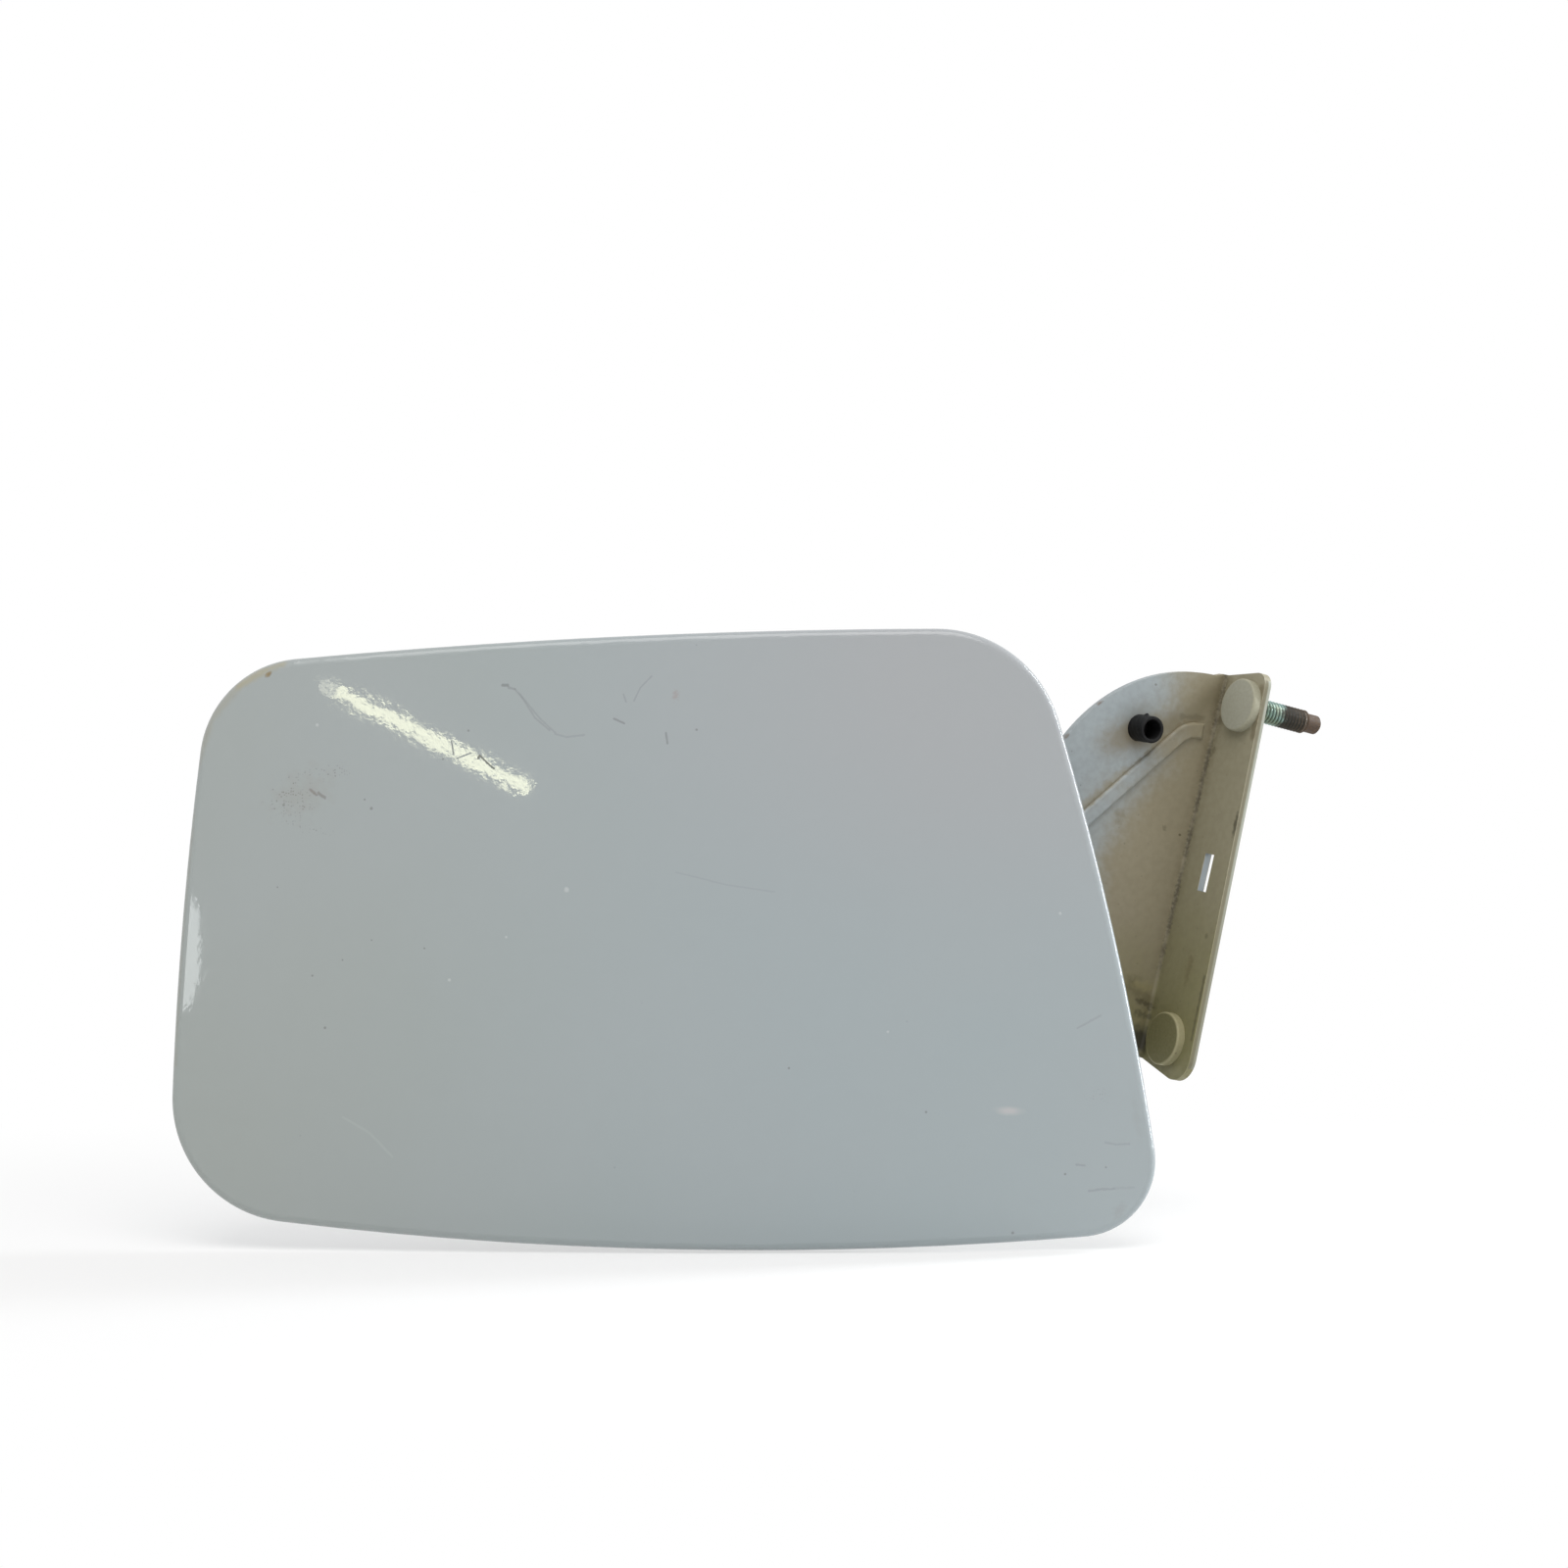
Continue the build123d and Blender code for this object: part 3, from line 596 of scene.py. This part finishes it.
oldDirt = (0.085, 0.07, 0.035)
bracketMarks = [
    # brown stain that runs from the stop buffer to the studs
    dict(at=onPlate(-20.5, -11.2), size=(13.5, 6.0, 6.0), turn=22, tone=(0.17, 0.14, 0.08), share=0.62, soft=0.95,
         ragged=0.9, grain=0.22),
    dict(at=onPlate(-24.5, -12.4), size=(5.4, 5.2, 3.0), tone=(0.13, 0.105, 0.06), share=0.7, soft=0.8, ragged=0.7,
         grain=0.5),
    dict(at=onPlate(-28.8, -14.6), size=(11.5, 7.0, 3.0), turn=25, tone=(0.20, 0.16, 0.09), share=0.65, soft=0.95,
         ragged=0.8, grain=0.4),
    dict(line=plateLine((-18.0, -10.4), (-9.5, -3.6), (-4.5, 1.5)), width=5.0, tone=(0.16, 0.135, 0.075), share=0.5,
         soft=0.95, ragged=0.8, grain=0.3),
    dict(line=plateLine((-12.5, -5.9), (-6.5, -4.6)), width=1.2, tone=oldDirt, share=0.4, soft=0.95, ragged=2.2,
         grain=0.5),
    # dirt along the bead's upper side, and painted shade along its lower side
    dict(line=plateLine((-38.1, -37.6), (-24.0, -21.2), (-12.2, -7.4), (-8.0, -6.2)), width=0.9,
         tone=(0.17, 0.135, 0.07), share=0.5, soft=0.95, ragged=2.4, grain=0.8),
    dict(line=plateLine((-38.6, -37.0), (-26.0, -22.4)), width=1.8, tone=(0.24, 0.20, 0.11), share=0.45, soft=0.9,
         ragged=1.2, grain=0.7),
    # painted shade: a soft grey line along the bead's lower side
    dict(line=plateLine((-34.9, -40.6), (-20.0, -23.2), (-9.4, -11.0)), width=1.4, tone=(0.18, 0.17, 0.13), share=0.2,
         soft=0.95, ragged=0.8, grain=0.6),
    # chips and specks on the lobe and the plate
    dict(at=onPlate(-37.7, -7.4), size=(1.5, 0.8, 2.0), turn=42, tone=(0.12, 0.07, 0.035), share=0.8, ragged=0.8,
         grain=1.5),
    dict(at=onPlate(-44.9, -17.6), size=(1.4, 0.7, 2.0), turn=55, tone=(0.13, 0.09, 0.05), share=0.6, ragged=0.8,
         grain=1.5),
    dict(at=onPlate(-10.3, -34.2), size=(1.1, 0.9, 1.0), tone=oldDirt, share=0.4, ragged=2.0, grain=1.6),
    dict(at=onPlate(-5.2, -35.0), size=(0.6, 0.4, 1.0), tone=oldDirt, share=0.8, ragged=0.8, grain=1.6),
    dict(at=onPlate(-24.2, -33.9), size=(2.2, 2.6, 1.0), tone=(0.15, 0.125, 0.07), share=0.35, soft=0.95, ragged=1.8,
         grain=0.8),
    dict(at=onPlate(-22.5, 0.4), size=(0.5, 0.4, 1.0), tone=oldDirt, share=0.5, grain=1.8),
    # dark smudges, a yellowish crust and two dark lines round the lower stud, and a near-black patch below it
    dict(line=plateLine((-9.5, -74.8), (-1.0, -78.8)), width=3.4, tone=(0.12, 0.10, 0.045), share=0.6, soft=0.95,
         ragged=1.6, grain=0.6),
    dict(at=onPlate(-6.0, -74.6), size=(5.0, 2.2, 2.0), turn=8, tone=(0.31, 0.275, 0.13), share=0.45, soft=0.95,
         ragged=2.0, grain=0.4),
    dict(line=plateLine((-6.0, -78.4), (-0.5, -79.8)), width=1.3, tone=(0.045, 0.038, 0.02), share=0.6, soft=0.95,
         ragged=3.0, grain=0.9),
    dict(line=plateLine((-6.4, -81.4), (-1.0, -82.0)), width=1.2, tone=(0.045, 0.038, 0.02), share=0.5, soft=0.95,
         ragged=3.0, grain=0.9),
    dict(at=onPlate(-4.0, -88.6), size=(7.0, 5.4, 3.0), tone=(0.032, 0.03, 0.024), share=0.85, soft=0.7, ragged=0.8,
         grain=0.5),
    # dirt on the flange
    dict(at=onFlange(-4.2, -8.6), size=(2.0, 2.6, 2.6), tone=(0.10, 0.08, 0.045), share=0.6, soft=0.9, ragged=1.2,
         grain=0.7),
    dict(at=onFlange(-12.3, -8.6), size=(1.5, 1.9, 1.4), tone=oldDirt, share=0.6, soft=0.9, ragged=2.0, grain=1.2),
    dict(at=onFlange(-29.6, 7.4), size=(2.0, 4.8, 0.9), tone=(0.07, 0.065, 0.04), share=0.75, soft=0.7, ragged=1.2,
         grain=1.1),
    dict(at=onFlange(-67.2, 1.8), size=(1.5, 5.5, 1.6), tone=(0.12, 0.085, 0.035), share=0.4, soft=0.95, ragged=2.4,
         grain=0.8),
    dict(at=onFlange(-58.2, 5.9), size=(1.5, 1.0, 0.9), tone=oldDirt, share=0.6, soft=0.9, ragged=1.4, grain=1.4),
    dict(line=[onFlange(-7.0, 6.2), onFlange(5.0, 5.8)], width=1.7, tone=(0.12, 0.09, 0.045), share=0.55, soft=0.9,
         ragged=1.2, grain=0.7),
    dict(line=[onFlange(-68.0, 8.8), onFlange(-84.0, 9.3)], width=0.6, tone=(0.07, 0.06, 0.03), share=0.6, soft=0.8,
         ragged=1.4, grain=0.9),
]


# Old white paint, with painted light and shade: bluish and lit on the lobe, yellower to the bend as yellowed paint and
# painted shade, darker and browner downwards as painted shade and dirt, and the flange a lighter copy painted for the
# light it lacks; with dirt in the bend and marks
def makeBracketPaint():
    b = bracketPaint
    material, tree = newMaterial("bracketPaint")
    place = bracketPlace(tree)
    along, up, out = splitPlace(tree, place)
    mottle = addMottle(tree, place, *b["mottle"])
    fine = addMottle(tree, place, *b["fine"])
    coarseShift, fineShift = b["unevenness"]
    uneven = addMath(tree, "ADD", addTimes(tree, mottle, coarseShift), addTimes(tree, fine, fineShift))
    drift = addMath(tree, "ADD", along, addTimes(tree, up, b["warmSlope"]))
    # painted light and paint: the cool tone is the lit lobe; the warm tone towards the bend is yellowed paint and
    # painted shade
    warm = addRamp(tree, addMath(tree, "ADD", drift, uneven), *b["warmReach"])
    plate = addBlend(tree, warm, b["litCoolTone"], b["warmTone"])
    sunk = addMath(tree, "ADD", up, uneven)
    # painted shade and dirt: darker and browner downwards; the flange is a lighter copy of the paint, painted for the
    # light it lacks
    plate = addBlend(tree, addRamp(tree, sunk, *b["lowShadeAndDirtReach"]), plate, b["lowShadeAndDirtTone"])
    flange = addBlend(tree, addRamp(tree, sunk, *b["flangeShadeAndDirtReach"]), b["flangeLitTone"], b["flangeLowShadeAndDirt"])
    isFlange = addTimes(tree, addRamp(tree, along, *b["flangeStart"]), addRamp(tree, out, *b["flangeFoot"]))
    colour = addBlend(tree, isFlange, plate, flange)
    colour = addBlend(tree, addTimes(tree, fine, b["fineDirt"]), colour, b["dirtTone"])
    # dirt in the bend: the larger way from its line, as a thin broken line in a soft brown band
    off = addMath(tree, "MAXIMUM", addMath(tree, "ABSOLUTE", addMath(tree, "SUBTRACT", along, flangeLevel)),
                  addMath(tree, "ABSOLUTE", addMath(tree, "SUBTRACT", out, plateLevel)))
    grainy = addTimes(tree, addNoise(tree, place, *b["lineNoise"]), b["lineShift"])
    line = addRamp(tree, addMath(tree, "ADD", off, grainy), *b["lineReach"])
    broken = addRamp(tree, addNoise(tree, place, *b["gapNoise"]), *b["gapReach"])
    band = addTimes(tree, addRamp(tree, off, *b["bandReach"]), addRamp(tree, up, *b["bandFade"]))
    band = addTimes(tree, band, addLevel(tree, fine, *b["bandPatch"]))
    inBend = addRamp(tree, up, *b["bendEnd"])
    colour = addBlend(tree, addTimes(tree, band, inBend), colour, b["bandTone"])
    line = addTimes(tree, addTimes(tree, line, broken), inBend)
    colour = addBlend(tree, line, colour, b["dirtTone"])
    specks = addSpecks(tree, place, *b["specks"])
    colour = addBlend(tree, addTimes(tree, specks, b["speckShare"]), colour, oldDirt)
    colour, roughness = addMarks(tree, place, colour, b["roughness"], bracketMarks)
    # dark cut edge with a pale rim at the back as a painted highlight, and the slot's walls painted grey as shade
    past = addMath(tree, "ADD", out, addTimes(tree, up, b["edgeSlope"]))
    onCut = addTimes(tree, addRamp(tree, past, *b["edgeReach"]), addRamp(tree, along, *b["cutFront"]))
    colour = addBlend(tree, addTimes(tree, onCut, b["cutShare"]), colour, b["cutTone"])
    # painted highlight: a pale rim on the edge, lighter upwards, for light caught by a rounded edge
    rimHighlight = addTimes(tree, onCut, addRamp(tree, along, *b["rimHighlightReach"]))
    rimHighlight = addTimes(tree, rimHighlight, addRamp(tree, sunk, *b["rimHighlightFade"]))
    colour = addBlend(tree, rimHighlight, colour, b["edgeHighlightTone"])
    # painted shade: the slot's walls are painted grey
    slotShade = addTimes(tree, addRamp(tree, along, *b["slotFront"]), addRamp(tree, along, *b["slotBack"]))
    aside = addMath(tree, "ABSOLUTE", addMath(tree, "SUBTRACT", out, b["slotOffset"]))
    slotShade = addTimes(tree, slotShade, addRamp(tree, aside, *b["slotReach"]))
    colour = addBlend(tree, slotShade, colour, b["slotShadeTone"])
    roughness = addMath(tree, "ADD", roughness, addTimes(tree, fine, b["roughSpread"]))
    finishMaterial(tree, colour, roughness, 0.0, addSkin(tree, place, *b["skin"]), b["skinDepth"])
    return material


# Tones, and reaches, noises and specks as on the bracket; the lower stud lies one spacing down
studFinish = dict(
    zinc=(0.30, 0.45, 0.43), zincWarm=(0.31, 0.37, 0.30), thread=(0.026, 0.022, 0.017), groove=(0.03, 0.033, 0.028),
    crest=(0.09, 0.062, 0.036), rust=(0.042, 0.02, 0.007), rustPale=(0.074, 0.042, 0.018),
    headTop=(0.33, 0.325, 0.255), headShadedLow=(0.16, 0.148, 0.066), headRimHighlight=(0.36, 0.33, 0.19), dirt=(0.06, 0.05, 0.028),
    mottle=(0.5, 4.0), fine=(1.6, 3.0), dirtyShift=1.6, dirtyReach=(8.4, 10.8), grooveReach=(2.9, 2.55),
    grooveShare=0.75, wornReach=(12.0, 16.0, 0.15, 0.6), rustShift=0.5, rustReach=(16.2, 16.8),
    lowerReach=(-40.0, -50.0), spacing=85.8, headReach=(-1.8, -2.0), rimHighlightReach=(6.0, 6.6), rimHighlightShare=(0.25, 0.85),
    headMottle=0.08, specks=(0.55, 0.3, 0.3), speckShare=(0.3, 0.7), dirtyDull=0.75, metallic=0.9,
    zincRoughness=(0.28, 0.42), dullRoughness=(0.5, 0.75), skin=(3.0, 1.0), skinDepth=0.01,
)


# Zinc near the flange, dark old dirt further out and rust on the end; the heads have the bracket's old paint, with
# painted shade on the lower head and painted highlights on the rims
def makeStudFinish():
    f = studFinish
    material, tree = newMaterial("studFinish")
    place = bracketPlace(tree)
    along, up, out = splitPlace(tree, place)
    mottle = addMottle(tree, place, *f["mottle"])
    fine = addMottle(tree, place, *f["fine"])
    shifted = addMath(tree, "ADD", along, addTimes(tree, mottle, f["dirtyShift"]))
    colour = addBlend(tree, mottle, f["zinc"], f["zincWarm"])
    dirty = addRamp(tree, shifted, *f["dirtyReach"])
    colour = addBlend(tree, dirty, colour, f["thread"])
    # dirt sits in the thread's grooves, and its crests are rubbed brown further out
    fromAxis = addNode(tree, "ShaderNodeCombineXYZ", {0: up, 1: out}).outputs[0]
    deep = addRamp(tree, addVector(tree, "LENGTH", fromAxis), *f["grooveReach"])
    colour = addBlend(tree, addTimes(tree, deep, f["grooveShare"]), colour, f["groove"])
    worn = addTimes(tree, addMath(tree, "SUBTRACT", 1.0, deep), addRamp(tree, shifted, *f["wornReach"]))
    colour = addBlend(tree, addTimes(tree, worn, dirty), colour, f["crest"])
    rusty = addRamp(tree, addMath(tree, "ADD", along, addTimes(tree, fine, f["rustShift"])), *f["rustReach"])
    colour = addBlend(tree, rusty, colour, addBlend(tree, fine, f["rust"], f["rustPale"]))
    # the lower head is darker as painted shade and yellower, with a pale rim as a painted highlight, and more dirt
    lower = addRamp(tree, up, *f["lowerReach"])
    paint = addBlend(tree, lower, f["headTop"], f["headShadedLow"])
    centre = addLevel(tree, lower, 0.0, -f["spacing"])
    ring = addNode(tree, "ShaderNodeCombineXYZ", {0: addMath(tree, "SUBTRACT", up, centre), 1: out}).outputs[0]
    # painted highlight: a pale rim on each head, strongest on the lower one
    rimHighlight = addRamp(tree, addVector(tree, "LENGTH", ring), *f["rimHighlightReach"])
    paint = addBlend(tree, addTimes(tree, rimHighlight, addLevel(tree, lower, *f["rimHighlightShare"])), paint, f["headRimHighlight"])
    paint = addBlend(tree, addTimes(tree, fine, f["headMottle"]), paint, f["dirt"])
    specks = addSpecks(tree, place, *f["specks"])
    paint = addBlend(tree, addTimes(tree, specks, addLevel(tree, lower, *f["speckShare"])), paint, f["dirt"])
    head = addRamp(tree, along, *f["headReach"])
    colour = addBlend(tree, head, colour, paint)
    # bare zinc is metal; paint, rust and most of the dirt aren't
    dull = addMath(tree, "MAXIMUM", addMath(tree, "MAXIMUM", head, rusty), addTimes(tree, dirty, f["dirtyDull"]))
    metallic = addMath(tree, "SUBTRACT", f["metallic"], addTimes(tree, dull, f["metallic"]), clamp=True)
    bright, matt = addLevel(tree, mottle, *f["zincRoughness"]), addLevel(tree, fine, *f["dullRoughness"])
    skin = addSkin(tree, place, *f["skin"])
    finishMaterial(tree, colour, addLevel(tree, dull, bright, matt), metallic, skin, f["skinDepth"])
    return material


plainMottle = 4.0                  # detail of the plain finishes' noise
plainDust = (8.0, 0.18, 0.25)      # scale against the mottle's, radius and share
# Plain finishes for the pieces behind the door and the tube: two tones by noise, specks of dust, and a fine skin
plainFinishes = dict(
    inner_paint=dict(tone=(0.37, 0.385, 0.385), other=(0.33, 0.345, 0.34), dust=(0.16, 0.145, 0.11), dustShare=0.5,
                     scale=0.03, roughness=(0.28, 0.46), metallic=0.0, skin=(0.8, 0.25), depth=0.02),
    pin_steel=dict(tone=(0.36, 0.35, 0.335), other=(0.25, 0.235, 0.21), dust=(0.15, 0.09, 0.05), dustShare=0.6,
                   scale=0.25, roughness=(0.28, 0.5), metallic=0.9, skin=(3.0, 1.0), depth=0.01),
    black_rubber=dict(tone=(0.005, 0.005, 0.006), other=(0.011, 0.011, 0.011), dust=(0.05, 0.045, 0.035),
                      dustShare=0.25, scale=0.3, roughness=(0.45, 0.65), metallic=0.0, skin=(4.0, 1.4), depth=0.03,
                      specular=0.2),
    bush_nylon=dict(tone=(0.56, 0.54, 0.47), other=(0.47, 0.44, 0.36), dust=(0.14, 0.11, 0.07), dustShare=0.4,
                    scale=0.3, roughness=(0.4, 0.55), metallic=0.0, skin=(2.5, 0.8), depth=0.01),
)


def makePlainFinish(name, tone, other, dust, dustShare, scale, roughness, metallic, skin, depth, specular=0.5):
    material, tree = newMaterial(name)
    place = addScale(tree, addNode(tree, "ShaderNodeTexCoord").outputs["Object"], 1 / mm)
    mottle = addMottle(tree, place, scale, plainMottle)
    colour = addBlend(tree, mottle, tone, other)
    finer, radius, share = plainDust
    specks = addSpecks(tree, place, finer * scale, radius, share)
    colour = addBlend(tree, addTimes(tree, specks, dustShare), colour, dust)
    height = addSkin(tree, place, *skin)
    finishMaterial(tree, colour, addLevel(tree, mottle, *roughness), metallic, height, depth, specular=specular)
    return material


materials = {slot: makePlainFinish(slot, **finish) for slot, finish in plainFinishes.items()}
materials["body_paint"] = makeDoorPaint()
materials["bracket_paint"] = makeBracketPaint()
materials["stud_zinc"] = makeStudFinish()
for subpart in frame["record"]["subparts"]:
    mesh = nodes[subpart["node"]].data
    mesh.materials.clear()
    mesh.materials.append(materials[subpart["material_slot"]])


sharpAngle = 40.0      # an edge turned further than this stays sharp


# Closed grid of rings about an axis: rows run along it, columns go round it, and both ends get a cap
def turnedPiece(name, along, radius, origin, ways, slot, replaced):
    rows, around = radius.shape
    angle = np.linspace(0, 2 * np.pi, around, endpoint=False)
    axis, first, second = (np.array(way) for way in ways)
    points = (np.array(origin) + along[..., None] * axis + (radius * np.cos(angle))[..., None] * first
              + (radius * np.sin(angle))[..., None] * second).reshape(-1, 3) * mm
    row, column = np.meshgrid(np.arange(rows - 1), np.arange(around), indexing="ij")
    right = (column + 1) % around
    faces = np.stack([row * around + column, row * around + right,
                      (row + 1) * around + right, (row + 1) * around + column], -1).reshape(-1, 4)
    caps = [list(range(around))[::-1], list(range((rows - 1) * around, rows * around))]
    mesh = bpy.data.meshes.new(name)
    mesh.from_pydata(points.tolist(), [], faces.tolist() + caps)
    mesh.materials.append(materials[slot])
    mesh.polygons.foreach_set("use_smooth", [True] * len(faces) + [False, False])
    mesh.set_sharp_from_angle(angle=math.radians(sharpAngle))
    piece = bpy.data.objects.new(name, mesh)
    scene.collection.objects.link(piece)
    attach(piece, "base")
    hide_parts(replaced)


upperStud = dict(radius=3.0, coreRadius=2.45, pitch=1.0, length=16.6, runOut=1.2, tipRadius=2.4, tipLength=4.79,
                 tipChamfer=0.6, headRadius=6.7, headHeight=2.2, headRound=0.5, neckRadius=3.4, neckLength=2.0,
                 roundSteps=6, around=72, stepsPerPitch=12)


# The thread is a triangle wave of (length / pitch - angle / full turn), faded out at both ends of the shank
def makeUpperStud():
    s = upperStud
    angle = np.linspace(0, 2 * np.pi, s["around"], endpoint=False)
    corner = np.linspace(0, np.pi / 2, s["roundSteps"])
    headTop = -s["neckLength"] - s["headHeight"]
    headAlong = np.concatenate([headTop + s["headRound"] * (1 - np.cos(corner)), [-s["neckLength"]] * 2, [0.0, 0.0]])
    headRadius = np.concatenate([s["headRadius"] - s["headRound"] * (1 - np.sin(corner)),
                                 [s["headRadius"], s["neckRadius"], s["neckRadius"], s["radius"]]])
    steps = int(s["length"] / s["pitch"] * s["stepsPerPitch"])
    shank = np.linspace(0.0, s["length"], steps + 1)[1:]
    wave = np.abs(((shank[:, None] / s["pitch"] - angle / (2 * np.pi)) % 1.0) * 2 - 1)
    fade = np.clip(np.minimum(shank, s["length"] - shank) / s["runOut"], 0, 1)[:, None]
    thread = s["radius"] - (s["radius"] - s["coreRadius"]) * wave * fade
    end = s["length"] + s["tipLength"]
    tipAlong = np.array([s["length"], end - s["tipChamfer"], end])
    tipRadius = np.array([s["tipRadius"], s["tipRadius"], s["tipRadius"] - s["tipChamfer"]])
    along = np.concatenate([headAlong, shank, tipAlong])
    plain = np.ones((1, s["around"]))
    radius = np.concatenate([headRadius[:, None] * plain, thread, tipRadius[:, None] * plain])
    turnedPiece("upperStud", along[:, None] * plain, radius, (0, 0, 0), (shankWay, creaseWay, plateWay), "stud_zinc",
                "upper_stud")


stopTube = dict(place=(-24.5, -11.2), radius=3.4, bore=2.45, height=6.0, mouthRound=0.4, neckRadius=2.3, sheet=2.0,
                barbRadius=3.0, barbEnd=2.2, barbLength=2.4, nibHeight=0.6, nibAngle=96.0, nibSpread=10.0, nibAlong=2.6,
                nibLength=0.6, unevenness=0.035, waves=((3, 2.1), (7, -3.7)), roundSteps=7, around=64, wallRows=24)


# Lathe profile from the barb's end, up the outside, over the rounded mouth and down the bore; the wall's radius
# wavers as the sum of two sines of turns times angle plus lean times length, and a torn nib stands out of it as a bell
# in angle and length
def makeStopTube():
    t = stopTube
    corner = np.linspace(0, np.pi / 2, t["roundSteps"])
    outer = corner[1:]      # the wall's last ring starts the rounding
    top = t["height"] - t["mouthRound"]
    wall = np.linspace(0, top, t["wallRows"])
    along = np.concatenate([[-t["sheet"] - t["barbLength"], -t["sheet"], -t["sheet"], 0], wall,
                            top + t["mouthRound"] * np.sin(outer), top + t["mouthRound"] * np.cos(corner),
                            [top / 2, 0.0]])
    radius = np.concatenate([[t["barbEnd"], t["barbRadius"], t["neckRadius"], t["neckRadius"]],
                             np.full(t["wallRows"], t["radius"]),
                             t["radius"] - t["mouthRound"] * (1 - np.cos(outer)),
                             t["bore"] + t["mouthRound"] * (1 - np.sin(corner)), [t["bore"], t["bore"]]])
    angle = np.linspace(0, 2 * np.pi, t["around"], endpoint=False)
    onWall = ((along > 0) & (radius > t["radius"] - 0.01))[:, None]
    waver = sum(np.sin(turns * angle + lean * along[:, None]) for turns, lean in t["waves"])
    nib = (np.exp(-((angle - math.radians(t["nibAngle"])) / math.radians(t["nibSpread"])) ** 2)
           * np.exp(-((along[:, None] - t["nibAlong"]) / t["nibLength"]) ** 2))
    radius = radius[:, None] + onWall * (t["nibHeight"] * nib + t["unevenness"] * (waver / 2 - 1))
    origin = shankWay * t["place"][0] + creaseWay * t["place"][1] + plateWay * plateLevel
    turnedPiece("stopTube", along[:, None] * np.ones((1, t["around"])), radius, origin,
                (plateWay, shankWay, creaseWay), "black_rubber", "stop_buffer")


makeUpperStud()
makeStopTube()
print("threaded stud and stop tube made")
